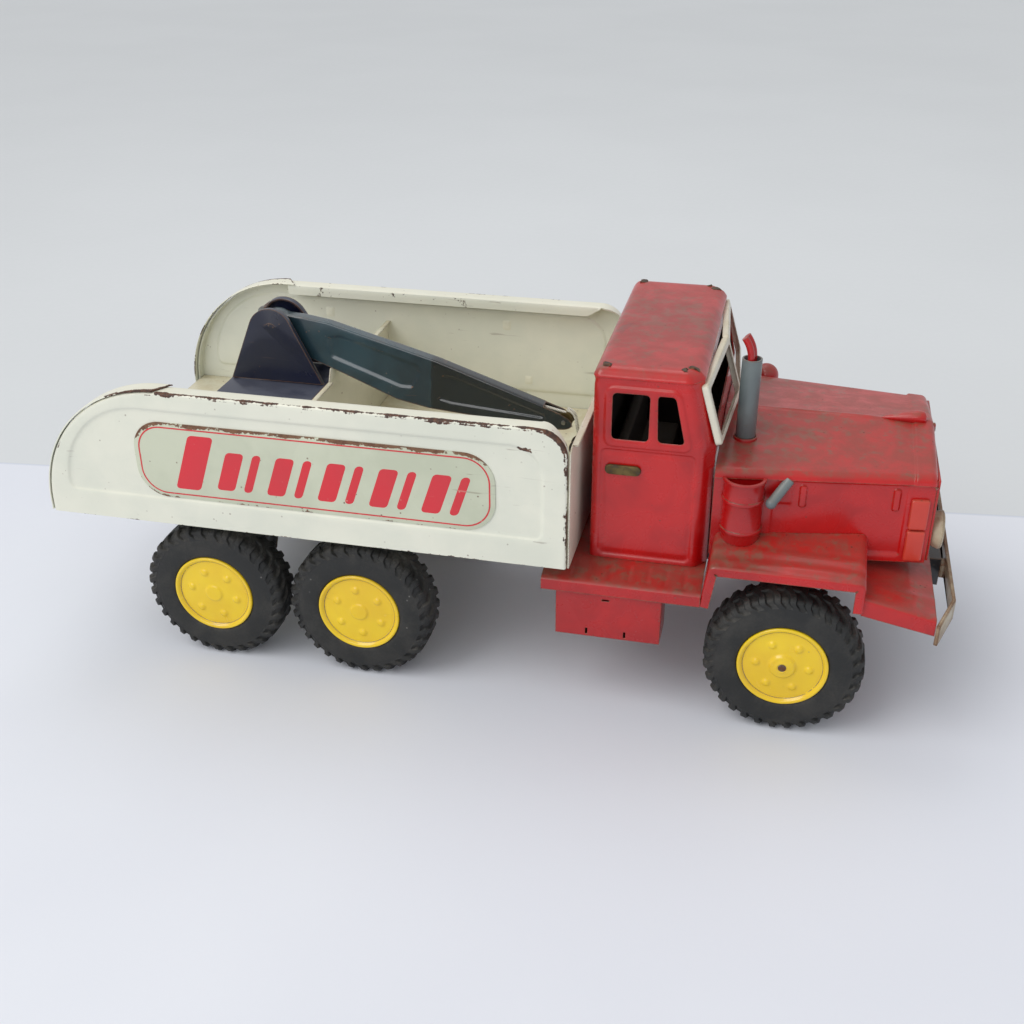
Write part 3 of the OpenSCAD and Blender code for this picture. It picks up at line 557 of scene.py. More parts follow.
def set_camera():
    az, el, roll = (math.radians(a) for a in CAMERA_ANGLES)
    back = Vector((math.sin(az) * math.cos(el), -math.cos(az) * math.cos(el), math.sin(el)))
    right = Vector((math.cos(az), math.sin(az), 0))
    up = right.cross(-back)
    r2 = right * math.cos(roll) + up * math.sin(roll)
    u2 = up * math.cos(roll) - right * math.sin(roll)
    data = bpy.data.cameras.new("camera")
    data.lens, data.sensor_width = CAMERA_LENS, 36
    data.clip_start, data.clip_end = 0.02, 20
    cam = bpy.data.objects.new("camera", data)
    bpy.context.scene.collection.objects.link(cam)
    m = Matrix.Identity(4)
    for i, v in enumerate((r2, u2, back, Vector(CAMERA_PLACE))):
        for k in range(3):
            m[k][i] = v[k]
    cam.matrix_world = m
    bpy.context.scene.camera = cam


def area_light(name, place, target, size, watts, colour=(1, 1, 1)):
    data = bpy.data.lights.new(name, "AREA")
    data.shape = "RECTANGLE"
    data.size, data.size_y = size
    data.energy = watts
    data.color = colour
    lamp = bpy.data.objects.new(name, data)
    bpy.context.scene.collection.objects.link(lamp)
    lamp.location = place
    lamp.rotation_mode = "QUATERNION"
    lamp.rotation_quaternion = (Vector(target) - Vector(place)).to_track_quat("-Z", "Y")


def set_stage():
    world = bpy.data.worlds.new("studio")
    bpy.context.scene.world = world
    world.use_nodes = True
    back = world.node_tree.nodes["Background"]
    back.inputs[0].default_value = (0.92, 0.935, 0.96, 1)
    back.inputs[1].default_value = 0.63
    sun = bpy.data.lights.new("window_sun", "SUN")
    sun.energy, sun.angle, sun.color = 1.12, math.radians(38), (1, 0.985, 0.96)
    lamp = bpy.data.objects.new("window_sun", sun)
    bpy.context.scene.collection.objects.link(lamp)
    lamp.rotation_mode = "QUATERNION"
    lamp.rotation_quaternion = Vector((0.62, 0.50, -0.95)).to_track_quat("-Z", "Y")
    area_light("soft_front", (-0.35, -1.1, 0.75), (0, 0, 0.07), (0.9, 0.5), 3.0, (1, 0.99, 0.97))
    area_light("soft_top", (-0.25, 0.5, 1.2), (0, 0, 0.05), (0.9, 0.6), 2.4)
    g = Graph("paper_ground")
    mid = g.noise(3, 3)
    fine = g.noise(160, 3)
    x, y = g.axis(g.place, 0), g.axis(g.place, 1)
    edge = g.calc("SUBTRACT", y, g.plus(g.times(x, 0.1098), 0.1268))
    beyond = g.ramp(edge, -0.0006, 0.0010)
    paper = g.mix(g.ramp(mid, 0.35, 0.65), srgb(226, 229, 236), srgb(221, 224, 232))
    far = g.mix(g.ramp(mid, 0.35, 0.65), srgb(213, 216, 218), srgb(211, 214, 216))
    line = g.times(g.ramp(edge, -0.0022, -0.0004), g.ramp(edge, 0.0014, 0.0))
    colour = g.mix(beyond, paper, far)
    colour = g.mix(g.times(line, 0.35), colour, srgb(176, 184, 204))
    g.set(Base_Color=colour, Roughness=g.ramp(fine, 0.3, 0.7, 0.6, 0.75))
    g.bump(fine, 0.1, 0.0002)
    verts, faces = strips([[(x * 100, y * 100, 0) for x in range(-40, 41, 4)]
                           for y in range(-40, 41, 4)])
    mesh = bpy.data.meshes.new("ground")
    mesh.from_pydata([Vector(v) * MM for v in verts], [], faces)
    mesh.materials.append(g.mat)
    ground = bpy.data.objects.new("ground", mesh)
    bpy.context.scene.collection.objects.link(ground)
    view = bpy.context.scene.view_settings
    view.view_transform = "Standard"
    view.look = "None"


set_camera()
set_stage()


# ---------- wheels ----------

TYRE_MID = 66.5
AXLE_Z = 34.5
TYRE_PHASE = 3.1
LUGS, LUG_DEPTH, LUG_SWEEP = 32, 1.3, 0.34
DISC_Y, DISC_EDGE = 8.62, 15.7
BOSSES, BOSS_RING = 6, 11.4


def tyre_mesh():
    """One tyre about its own centre, axis along Y, with a chevron of lugs that runs over each shoulder."""
    phases = [0.0, 0.05, 0.1, 0.22, 0.34, 0.46, 0.52, 0.58, 0.72, 0.86]
    half = ([(17.3, 8.7), (19.4, 8.7), (19.8, 9.2), (20.3, 9.6), (21.2, 9.85), (22.6, 9.98), (24.2, 10.0),
             (26.0, 9.95), (27.6, 9.8), (28.7, 9.6), (29.1, 9.55), (29.4, 9.65), (30.2, 9.55)]
            + [(30.5 + 4.0 * math.sin(a), 5.6 + 4.0 * math.cos(a))
               for a in [math.radians(10 + 70 * i / 8) for i in range(9)]]
            + [(34.5, 4.6), (34.5, 3.4), (34.5, 2.2), (34.5, 1.5), (34.5, 1.1), (34.5, 0.0)])
    ring = half + [(r, -a) for r, a in reversed(half[:-1])]
    p = np.array(ring)
    side = normals(p)
    rows = []
    for k in range(LUGS):
        for ph in phases:
            row = []
            for (r, a), (nr, na) in zip(p, side):
                reach = ease(r, 29.3, 32.5) + ease(10 - abs(a), 4.0, 10.0) * 1.2
                turn = (k + ph + LUG_SWEEP * reach) / LUGS * 2 * math.pi
                on = float(smooth(ph, 0.0, 0.1) - smooth(ph, 0.46, 0.58))
                deep = ease(r, 29.2, 31.0) * ease(abs(a), 0.9, 1.7) * LUG_DEPTH
                cut = deep * (1 - on)
                out_r, out_a = (nr, na) if (nr * (r - 24) + na * a) > 0 else (-nr, -na)
                rr, aa = r - out_r * cut, a - out_a * cut
                row.append((rr * math.cos(turn), aa, rr * math.sin(turn)))
            rows.append(row)
    return strips(rows, closed_rows=True)


def wheel_mesh(domed):
    """Pressed disc about its own centre with its face towards -Y: rolled rim, six bosses, dome, hub drum."""
    rim = [(19.5, 8.9), (19.5, 9.5), (19.3, 9.85), (18.95, 10.0), (18.5, 9.95), (18.0, 9.7), (17.6, 9.2),
           (17.25, 8.75), (16.9, 8.5), (16.5, 8.45), (16.1, 8.6), (DISC_EDGE, DISC_Y)]
    face = [(DISC_EDGE - i * 0.45, DISC_Y) for i in range(1, 34)] + [(0.4, DISC_Y), (0.0, DISC_Y)]
    back = [(19.5, 8.7), (17.1, 8.6), (17.1, -9.0), (16.1, -9.0), (16.1, 6.9), (4.2, 6.9), (4.2, -9.0),
            (3.6, -9.0), (2.1, -9.0)]
    rows = []
    around = 144
    for i in range(around):
        t = 2 * math.pi * i / around
        row = [(r * math.cos(t), -a, r * math.sin(t)) for r, a in reversed(back)]
        for r, a in rim + face:
            if r < 15.4:
                a += 0.35 * ease(15.4 - r, 0, 9)
                if domed:
                    a += 1.35 * ease(6.4 - r, 0, 1.7) + 0.5 * ease(4.2 - r, 0, 2.4)
                    a -= 1.5 * ease(1.9 - r, 0, 0.5)
                else:
                    a += 0.75 * ease(4.6 - r, 0, 1.0)
                for k in range(BOSSES):
                    c = 2 * math.pi * k / BOSSES
                    gap = math.hypot(r * math.cos(t) - BOSS_RING * math.cos(c),
                                     r * math.sin(t) - BOSS_RING * math.sin(c))
                    a += 0.95 * ease(2.3 - gap, 0, 1.5)
            row.append((r * math.cos(t), -a, r * math.sin(t)))
        rows.append(row)
    return strips(rows, closed_rows=True)


def place(piece, x, side, turn):
    """Sets a wheel piece on its axle; the left side is the right one turned half round."""
    spin = Matrix.Rotation(math.radians(turn), 4, "Y")
    face = Matrix.Rotation(math.pi if side > 0 else 0.0, 4, "Z")
    piece.data = piece.data.copy()
    piece.data.transform(Matrix.Translation(Vector((x, side * TYRE_MID, AXLE_Z)) * MM) @ face @ spin)


tyre_points = tyre_mesh()
wheel_points = {True: wheel_mesh(True), False: wheel_mesh(False)}
for axle, x, body, phase in (("front", 135.5, "wheelset_front", 3), ("middle", -57.0, "wheelset_middle", 24),
                             ("rear", -129.5, "wheelset_rear", 11)):
    for side in (-1, 1):
        end = f"{axle}_{word(side)}"
        tyre = make(f"lugged_tyre_{end}", *tyre_points, "rubber", "tyre_rubber", body, (f"tyre_{end}",),
                    sharp=40)
        place(tyre, x, side, phase * TYRE_PHASE)
        wheel = make(f"pressed_wheel_{end}", *wheel_points[axle == "front"], "yellow", "yellow_paint", body,
                     (f"wheel_{end}",), sharp=50)
        place(wheel, x, side, phase)


# ---------- bed ----------

BED_HALF = 80.0
REAR_C, REAR_R = (-143.5, 78.0), 60.0
REAR_X = REAR_C[0] - REAR_R
FRONT_C, FRONT_R = (27.5, 125.0), 13.0
PANEL_LOW, PANEL_TOP = 73.0, 138.0
LAP_X = -141.5
TAB_Y = -79.05


def panel_path():
    return spaced([(REAR_X, PANEL_LOW), (REAR_X, REAR_C[1])] + arc(REAR_C, REAR_R, 180, 90, 80)[1:]
                  + arc(FRONT_C, FRONT_R, 90, 0, 20) + [(40.5, PANEL_LOW)], 1.25)


def side_panel(side):
    bend = 1.1
    path = panel_path()
    way = normals(path)
    outward = way if way[len(way) // 2][1] > 0 else -way
    p = np.array(path)
    edge = p - outward * bend
    edge[0][1] = edge[-1][1] = PANEL_LOW
    low = spaced([tuple(edge[-1]), tuple(edge[0])], 1.25)[1:-1]
    outline = [tuple(q) for q in edge] + low
    field = (arc((-152.0, 89.5), 40.0, 180, 92, 30) + [(10.0, 129.5)]
             + arc((16.0, 115.5), 14.0, 90, 0, 10) + arc((26.5, 89.5), 3.5, 0, -90, 4)
             + arc((-188.5, 89.5), 3.5, 270, 180, 4))
    verts, faces = flat_sheet(outline, step=1.5, lines=[(field, True, 0.9)])
    inner = depth_in(verts, field)
    near_edge = distance(verts, path, closed=False)
    h = -0.75 * smooth(inner, -0.9, 0.9)
    ripple = 0.12 * np.sin(verts[:, 0] * 0.045 + 1.3) * np.sin(verts[:, 1] * 0.11)
    h = h + ripple * smooth(near_edge, 1.5, 12) * smooth(verts[:, 1], PANEL_LOW, PANEL_LOW + 6)
    points = [(u, -BED_HALF - d, v) for (u, v), d in zip(verts, h)]
    low_edge = verts[:, 1] - PANEL_LOW
    top_near = np.where(verts[:, 0] > LAP_X - 6, near_edge, near_edge + 0.6)
    wear = np.maximum(0.95 * (1 - smooth(top_near, 0.2, 3.2)), 0.55 * (1 - smooth(low_edge, 0.0, 1.6)))
    wear = np.maximum(wear, 0.22 * (1 - smooth(np.abs(inner), 0.0, 1.2)))
    from_spot = verts - np.array([23.5, 128.2])
    blister = (from_spot[:, 0] / 8.0) ** 2 + ((from_spot[:, 1] + 0.1 * from_spot[:, 0]) / 1.7) ** 2
    wear = np.maximum(wear, 1.1 * np.exp(-blister) * (side < 0))
    rows, rims = [], []
    for i, (q, o) in enumerate(zip(p, outward)):
        beyond = max(0.0, q[0] - FRONT_C[0]) / FRONT_R
        on_strip = q[0] < LAP_X - 1
        reach = 6.0 if on_strip else 8.5 - 4.7 * ease(beyond, 0.2, 1.0)
        lip = 0.0 if on_strip else 4.4 * float(1 - smooth(q[0], 20.0, 30.0))
        prof = [(-bend + bend * math.sin(a), bend - bend * math.cos(a))
                for a in (0, math.pi / 8, math.pi / 4, 3 * math.pi / 8, math.pi / 2)]
        prof += [(0.0, bend + (reach - 0.8 - bend) * k / 4) for k in (1, 2, 3, 4)]
        if lip > 0.3:
            prof += [(-0.23, reach - 0.23), (-0.8, reach), (-0.8 - lip / 2, reach), (-0.8 - lip, reach)]
        else:
            prof += [(0.0, reach - 0.5), (0.0, reach - 0.3), (0.0, reach - 0.1), (0.0, reach)]
        drop = 0.25 if on_strip else 0.0
        rows.append([(q[0] + o[0] * (a - drop * (a > -bend + 0.05)), -BED_HALF + d,
                      q[1] + o[1] * (a - drop * (a > -bend + 0.05))) for a, d in prof])
        for a, d in prof:
            bend_line = max(0.0, 1 - abs(d - 0.9) / 2.2)
            far_line = max(0.0, 1 - abs(d - reach) / 1.6) * 0.65
            rims.append(max(bend_line * (0.95 if not on_strip else 0.5), far_line))
    rim_points, rim_faces = strips(rows)
    n = len(points)
    faces = faces + [tuple(i + n for i in f) for f in rim_faces]
    if side > 0:
        wear, rims = 0.72 * wear, [0.6 * w for w in rims]
    make(f"bed_panel_{word(side)}", points + rim_points, faces, "cream",
         "cream_paint", replaces=(f"side_panel_{word(side)}",), out=(0, -1, 0.2),
         solid=TIN, wear=list(wear) + rims, mirror=side > 0, sharp=45)


def edge_strip(side):
    path = ([(REAR_X, PANEL_LOW + 0.5), (REAR_X, REAR_C[1])] + arc(REAR_C, REAR_R, 180, 90, 90)[1:]
            + [(LAP_X, PANEL_TOP)])
    path = spaced(path, 1.1)
    way = normals(path)
    outward = way if way[len(way) // 2][1] > 0 else -way
    section = [(0.2, -0.05), (0.62, 0.02), (0.78, 0.3), (0.8, 1.2), (0.8, 3.2), (0.8, 5.2), (0.8, 7.2),
               (0.8, 8.6), (0.72, 9.0), (0.5, 9.2)]
    rows, wear = [], []
    last = len(path) - 1
    for i, (q, o) in enumerate(zip(path, outward)):
        row = []
        for a, d in section:
            shift = (d / 9.2 * 6.0 - 2.5) * ease(i, last - 8, last)
            row.append((q[0] + o[0] * a + shift, -BED_HALF + d, q[1] + o[1] * a))
            near = max(0.0, 1 - abs(d - 0.5) / 2.4) * ease(i, last * 0.55, last * 0.8)
            tip = max(0.0, 1 - (last - i) / 3.0)
            far = 0.55 * max(0.0, 1 - abs(d - 9.2) / 1.5)
            wear.append(max(0.25 * (d < 0.6), near * 1.02, 0.8 * tip, far))
        rows.append(row)
    points, faces = strips(rows)
    make(f"rear_edge_strip_{word(side)}", points, faces, "cream", "cream_paint",
         replaces=(f"edge_strip_{word(side)}",), out=(-1, 0, 1), solid=0.5, wear=wear, mirror=side > 0,
         sharp=45)


def label(side):
    """Pale plate with a red outline and a row of slanted bars, a plain motif."""
    outline = rrect(-156.5, 87.0, 9.7, 124.0, 14.0)
    verts, faces = flat_sheet(outline, step=1.8)
    near = distance(verts, outline)
    face_y = -79.85
    points = [(u, face_y + 0.25 * float(1 - smooth(d, 0, 0.7)), v) for (u, v), d in zip(verts, near)]
    top = smooth(verts[:, 1], 112, 122)
    wear = (0.45 + 0.35 * top) * (1 - smooth(near, 0.2, 2.4 + 1.6 * top))
    make(f"label_face_{word(side)}", points, faces, "label", "label_paint",
         replaces=(f"label_plate_{word(side)}",), out=(0, -1, 0), solid=PLATE, wear=list(wear),
         mirror=side > 0)
    art_y = face_y - 0.06
    line = rrect(-154.0, 89.2, 7.3, 121.6, 11.5, 1.0)
    way = normals(line, True)
    rows = []
    for q, o in zip(line, way):
        rows.append([(q[0] + o[0] * w, art_y + b, q[1] + o[1] * w)
                     for w, b in ((-0.36, 0.05), (-0.33, 0.0), (0.33, 0.0), (0.36, 0.05))])
    points, faces = strips(rows, closed_rows=True)
    bars = []
    x = -138.5
    tall, wide, narrow = (12.0, 92.0, 119.0, 7.5), (8.5, 93.5, 112.5, 4.2), (4.0, 93.5, 112.5, 7.0)
    for width, low, high, gap in [tall] + [wide, narrow] * 5:
        shape = rrect(0, low, width, high, 1.8, 0.8)
        shape = [(x + a + 0.34 * (b - 92.0), b) for a, b in shape]
        bars.append(shape)
        x += width + gap
    for shape in bars:
        v2, f2 = flat_sheet(shape, step=1.6)
        near = distance(v2, shape)
        more = [(u, art_y + 0.05 * float(1 - smooth(d, 0, 0.2)), v) for (u, v), d in zip(v2, near)]
        join(points, faces, more, f2)
    make(f"label_art_{word(side)}", points, faces, "label_red", "red_paint", out=(0, -1, 0), mirror=side > 0)


for s in (-1, 1):
    side_panel(s)
    edge_strip(s)
    label(s)


def panel_tabs():
    """Small tabs folded flat on the inside of each panel, where its outer plates are fixed."""
    for side in (-1, 1):
        points, faces = [], []
        for x, z in ((-122.0, 121.5), (-23.0, 121.5), (-11.0, 91.5), (-95.0, 93.0)):
            shape = [(x - 2.6, z + 3.6), (x - 2.6, z - 1.6), (x - 1.6, z - 2.6), (x + 2.2, z - 2.6),
                     (x + 2.9, z - 1.8), (x + 2.9, z + 3.6)]
            shape = spaced(shape, 0.9, True)
            v2, f2 = flat_sheet(shape, step=0.9)
            bulge = 0.35 + 0.55 * smooth(distance(v2, shape), 0.0, 1.4)
            join(points, faces, [(u, TAB_Y + float(b) * 0.9, v) for (u, v), b in zip(v2, bulge)], f2)
        make(f"fold_tabs_{word(side)}", points, faces, "cream_inside", "cream_paint", out=(0, 1, 0),
             solid=PLATE, mirror=side > 0)


panel_tabs()
dress("bed_floor", "cream_inside", 0.3)
dress("bulkhead", "cream_trim", 0.3)
dress("cross_wall", "cream_inside", 0.3)

# ---------- crane ----------

dress("tower_base", "navy", 0.6)
for s in (-1, 1):
    dress(f"tower_cheek_{word(s)}", "navy", 0.45)
PIVOT = np.array([-117.3, 0.0, 143.0])
PITCH = math.radians(14.3)
WEB_END = 134.0


def in_boom(u, y, v):
    return (PIVOT[0] + u * math.cos(PITCH) + v * math.sin(PITCH), y,
            PIVOT[2] - u * math.sin(PITCH) + v * math.cos(PITCH))


def boom_piece():
    """Folded channel: a narrow web along the top and two flared sides with a long pressed panel in each."""
    top = ([(-8, 0.0)] + arc((0, 0), 8.0, 172, 66, 12) + [(12.0, 8.9), (24.5, 10.2), (80.0, 9.2),
           (143.0, 4.0), (147.5, 2.9), (149.6, 1.8), (150.5, 0.0)])
    under = ([(-8, -0.01)] + arc((0, 0), 8.0, 188, 294, 12) + [(38.0, -11.2), (66.0, -15.0), (82.0, -14.2),
             (143.0, -4.6), (147.5, -3.2), (149.6, -1.9), (150.5, -0.01)])
    us = np.unique(np.round(np.concatenate([np.linspace(-8, 8, 20), np.linspace(8, 143, 150),
                                            np.linspace(143, 150.5, 12)]), 3))
    tops = np.interp(us, [a for a, _ in top], [b for _, b in top])
    lows = np.interp(us, [a for a, _ in under], [b for _, b in under])
    panel_1 = spaced([(26, 3.8), (30, -5.5), (66, -8.8), (72, -7.5), (74, 1.0), (72, 4.2), (32, 6.2)], 1.5,
                     True)
    panel_2 = spaced([(84, 3.6), (85, -9.0), (92, -8.8), (136, -1.6), (137, 0.8), (90, 4.6)], 1.5, True)
    rows = []
    r = 1.1
    m = 26
    flare = math.radians(8)
    for u, hi, lo in zip(us, tops, lows):
        side = [lo + (hi - r - lo) * k / m for k in range(m + 1)]
        cut = smooth(depth_in(np.array([[u, v] for v in side]), panel_1), -0.2, 1.1) * 0.7
        cut = cut + smooth(depth_in(np.array([[u, v] for v in side]), panel_2), -0.2, 1.1) * 0.6
        half_at = [2.75 + (10 - v) * math.tan(flare) for v in side]
        half = [(-(w - c), v) for w, v, c in zip(half_at, side, cut)]
        flat = max(0.3, half_at[-1] - r * 0.9)
        bend = [(-flat - r * 0.9 * math.cos(a), hi - r + r * math.sin(a))
                for a in (math.radians(30), math.radians(60), math.radians(90))]
        mid = [(-flat * 0.5, hi), (0.0, hi)]
        left = half + bend + mid
        full = left + [(-y, v) for y, v in reversed(left[:-1])]
        rows.append([in_boom(u, y, v) for y, v in full])
    points, faces = strips(rows)
    wide = len(rows[0])
    web = range(m + 1, wide - m - 2)
    open_from = int(np.searchsorted(us, WEB_END))
    faces = [f for f in faces if not (f[0] // wide >= open_from and f[0] % wide in web)]
    make("boom_channel", points, faces, "boom", "boom_paint", "boom", ("boom",), out=(0, 0, 1), solid=0.6,
         sharp=40)


boom_piece()
dress("sheave_pin", "steel", 0.1)
dress("tip_sheave", "brass", 0.0)
dress("winch_drum", "steel", 0.0)
dress("winch_crank", "steel", 0.3)
dress("hoist_cord", "string", 0.0, 60)
dress("cord_falls", "string", 0.0, 60)
dress("hook_block", "black", 0.2)
dress("hook", "steel", 0.0, 50)

# ---------- cab ----------

SILL = 126.6


def cab_walls():
    """Walls as one sheet round the cab, with window holes, pressed frames and a door panel, then the roof."""
    rear, front, half, low, high = 47.0, 98.5, 60.0, 69.5, 154.0
    corner = 3.0
    outline = ([(rear, 0.0), (rear, -half + corner)]
               + arc((rear + corner, -half + corner), corner, 180, 270, 6)[1:]
               + [(91.6, -half)] + arc((91.6, -half + 4.0), 4.0, 270, 312, 4)[1:]
               + [(97.6, -half + 5.6)] + arc((95.5, -half + 7.4), 3.0, 330, 360, 3)[1:] + [(front, 0.0)])
    ring = outline + [(x, -y) for x, y in reversed(outline[1:-1])]
    ring = spaced(ring, 1.15, True)
    p = np.array(ring + [ring[0]])
    gaps = np.linalg.norm(np.diff(p, axis=0), axis=1)
    along = np.concatenate([[0], np.cumsum(gaps)])
    total = along[-1]
    way = normals(ring, True)
    if (way[len(way) // 4] @ (np.array(ring[len(way) // 4]) - np.array([72.0, 0.0]))) < 0:
        way = -way
    way = np.vstack([way, way[:1]])

    def at(s):
        return (np.interp(s, along, p[:, 0]), np.interp(s, along, p[:, 1]),
                np.interp(s, along, way[:, 0]), np.interp(s, along, way[:, 1]))

    def lean(x, z):
        """How far the front of the cab leans back above the sill."""
        return 0.235 * max(0.0, z - SILL) * ease(x, 70.0, 88.0)

    right_s = [s for s in np.linspace(0, total, 4000) if abs(at(s)[1] + half) < 1e-3]
    s0 = min(right_s)
    x0 = at(s0)[0]

    def s_right(x):
        """Place along the ring for a place along the right wall."""
        return s0 + (x - x0)
    left_s = [s for s in np.linspace(0, total, 4000) if abs(at(s)[1] - half) < 1e-3]
    s1, x1 = max(left_s), at(max(left_s))[0]

    def s_left(x):
        """The same for the left wall, where the ring runs back."""
        return s1 - (x - x1)
    front_s = total / 2
    holes, frames, doors = [], [], []
    for to_s, flip in ((s_right, 1), (s_left, -1)):
        def shape(x0_, z0_, x1_, z1_, r_):
            loop = [(to_s(x), z) for x, z in rrect(x0_, z0_, x1_, z1_, r_, 1.0)]
            return loop if flip > 0 else loop[::-1]
        holes.append(shape(55.2, 127.6, 70.8, 148.4, 1.8))
        holes.append(shape(74.8, 127.6, 86.2, 148.4, 1.8))
        frames.append(shape(52.2, 124.2, 89.0, 151.0, 3.5))
        doors.append(shape(51.0, 71.4, 91.0, 122.6, 2.5))
    holes.append([(front_s + y, z) for y, z in rrect(-51, 130.4, 51, 150.6, 2.0, 1.2)])
    outline2 = (spaced([(0.0, low), (total, low)], 1.3) + spaced([(total, low), (total, high)], 1.3)[1:]
                + [(s, high) for s in reversed(along[1:-1])] + spaced([(0.0, high), (0.0, low)], 1.3)[:-1])
    lines = [(f, True, 0.7) for f in frames] + [(d, True, 0.6) for d in doors]
    verts, faces = flat_sheet(outline2, holes, 1.3, lines)
    h = np.zeros(len(verts))
    for f, a, b in zip(frames, holes[0:4:2], holes[1:4:2]):
        d = depth_in(verts, f)
        h += 0.55 * smooth(d, -0.7, 0.7)
        for w in (a, b):
            gap = distance(verts, w)
            h -= 0.5 * (1 - smooth(gap, 0.1, 1.1))
    for f in doors:
        d = depth_in(verts, f)
        h += -0.55 * smooth(d, -0.6, 0.6) + 0.42 * smooth(d, 1.4, 2.4)
    bead = verts[:, 1]
    h -= 0.45 * np.exp(-((bead - 152.4) / 0.6) ** 2)
    h *= 1 - smooth(bead, 153.0, 153.9)
    points = []
    for (s, z), d in zip(verts, h):
        x, y, nx, ny = at(s)
        points.append((x + nx * d - lean(x, z), y + ny * d, z))
    # the roof draws in over a rolled edge, then lies nearly flat
    rows = []
    steps = [(0.0, 0.0), (0.0, 0.3), (-0.35, 0.8), (-0.3, 1.4), (0.1, 2.0), (0.5, 2.7), (1.1, 3.4),
             (1.9, 4.0), (2.9, 4.45), (4.2, 4.75), (6.0, 4.9)]
    for d_in, rise in steps:
        row = []
        for s in along[:-1]:
            x, y, nx, ny = at(s)
            row.append((x - lean(x, high + rise * 0.6) - nx * d_in, y - ny * d_in, high + rise))
        rows.append(row)
    roof_points, roof_faces = strips(rows, closed_cols=True)
    top_loop = [(x, y) for x, y, _ in rows[-1]]
    cap, cap_faces = flat_sheet(top_loop, step=2.0)
    crown = 0.1 * smooth(distance(cap, top_loop), 0, 14)
    join(roof_points, roof_faces, [(x, y, high + 4.9 + float(c)) for (x, y), c in zip(cap, crown)], cap_faces)
    join(points, faces, roof_points, roof_faces)
    make("cab_body", points, faces, "red", "red_paint", replaces=("cab_shell",), out=(0, 0, 1), solid=TIN,
         sharp=38, inner="inside_dark")


cab_walls()
dress("seat", "inside_dark", 1.5)
dress("steering_wheel", "black", 0.0, 50)
for s in (-1, 1):
    dress(f"door_handle_{word(s)}", "brass", 0.5)

# ---------- front ----------

HOOD_REAR, HOOD_FRONT, HOOD_LOW = 101.5, 190.0, 75.0
COWL_X = 99.0
HOOD_LIP, HOOD_SHOULDER, HOOD_RISE = 112.3, 115.3, 6.2


def hood_half(x):
    return 55.5 - 12.0 * (x - HOOD_REAR) / (HOOD_FRONT - HOOD_REAR)


def hood_top():
    """Ridged top that laps over the sides, with a raised band and a rolled edge at the radiator."""
    xs = sorted(set(np.round(np.concatenate([
        np.linspace(COWL_X, 180, 62), np.linspace(180, 182, 8), np.linspace(182, 187, 6),
        [187 + 3 * math.sin(math.radians(t)) for t in range(10, 91, 10)]]), 3)))
    rows = []
    rc, over = 3.4, 0.9
    for x in xs:
        half = hood_half(x) + over
        roll = max(0.0, x - 187.0)
        drop = 3.0 - math.sqrt(max(0.0, 9.0 - roll * roll))
        band = 0.75 * ease(x, 180.2, 181.6)
        slope = HOOD_RISE / half
        steps = ([0.0, 0.15, 0.5, 1.0, 1.7, 2.5, 3.4, 5] + list(np.linspace(8, half - 4.2, 12))
                 + [half - 3.2, half - 2.2, half - 1.4, half - 0.7])
        row = []
        for d in steps:
            z = HOOD_SHOULDER + 0.5 + slope * d - (rc - math.sqrt(max(0.0, rc * rc - max(0.0, rc - d) ** 2)))
            y = half - d
            z += 0.55 * math.exp(-(y / 1.1) ** 2) * float(1 - smooth(x, 160, 170))
            z += 0.12 * math.sin(x * 0.13 + y * 0.07) * ease(d, 4, 12)
            row.append((x, -(y + band * float(1 - smooth(d, 0.5, 5)) - drop * 0.6), z + band - drop))
        foot = (x, row[0][1] - 0.02, HOOD_LIP - drop * 0.3)
        bead = 0.55 * float(1 - smooth(x, 160, 170))
        ridge = (x, 0.0, HOOD_SHOULDER + 0.5 + slope * half + bead + band - drop)
        right = [foot] + row
        rows.append(right + [ridge] + [(a, -b, c) for a, b, c in reversed(right)])
    last = rows[-1]
    rows.append([(HOOD_FRONT + 0.05, y * 0.985, z - 2.2 if abs(z - HOOD_LIP) > 2.5 else z)
                 for _, y, z in last])
    points, faces = strips(rows)
    make("hood_top", points, faces, "red_dusty", "red_paint", replaces=("hood",), out=(0, 0, 1),
         solid=TIN, sharp=40)


def hood_side(side):
    field = spaced([(131.6, 111.6), (178.6, 111.6), (178.6, 78.5), (124.0, 78.5), (124.0, 101.0),
                    (131.6, 101.0)][::-1], 1.2, True)
    outline = spaced([(COWL_X, HOOD_LOW), (HOOD_FRONT, HOOD_LOW), (HOOD_FRONT, 114.0),
                      (COWL_X, 114.0)], 1.4, True)
    bars = [rrect(134.9, 99.6, 137.5, 109.6, 1.0, 0.7), rrect(173.2, 99.6, 175.8, 109.6, 1.0, 0.7)]
    verts, faces = flat_sheet(outline, step=1.5, lines=[(field, True, 0.6)] + [(b, True, 0.5) for b in bars])
    h = -0.6 * smooth(depth_in(verts, field), -0.6, 0.6)
    for b in bars:
        h += 1.0 * smooth(depth_in(verts, b), -0.5, 0.4)
    h += 0.15 * np.sin(verts[:, 0] * 0.09) * np.sin(verts[:, 1] * 0.13)
    points = [(x, -hood_half(x) - float(d), z) for (x, z), d in zip(verts, h)]
    make(f"hood_side_{word(side)}", points, faces, "red", "red_paint",
         out=(0, -1, 0), solid=TIN, mirror=side > 0)


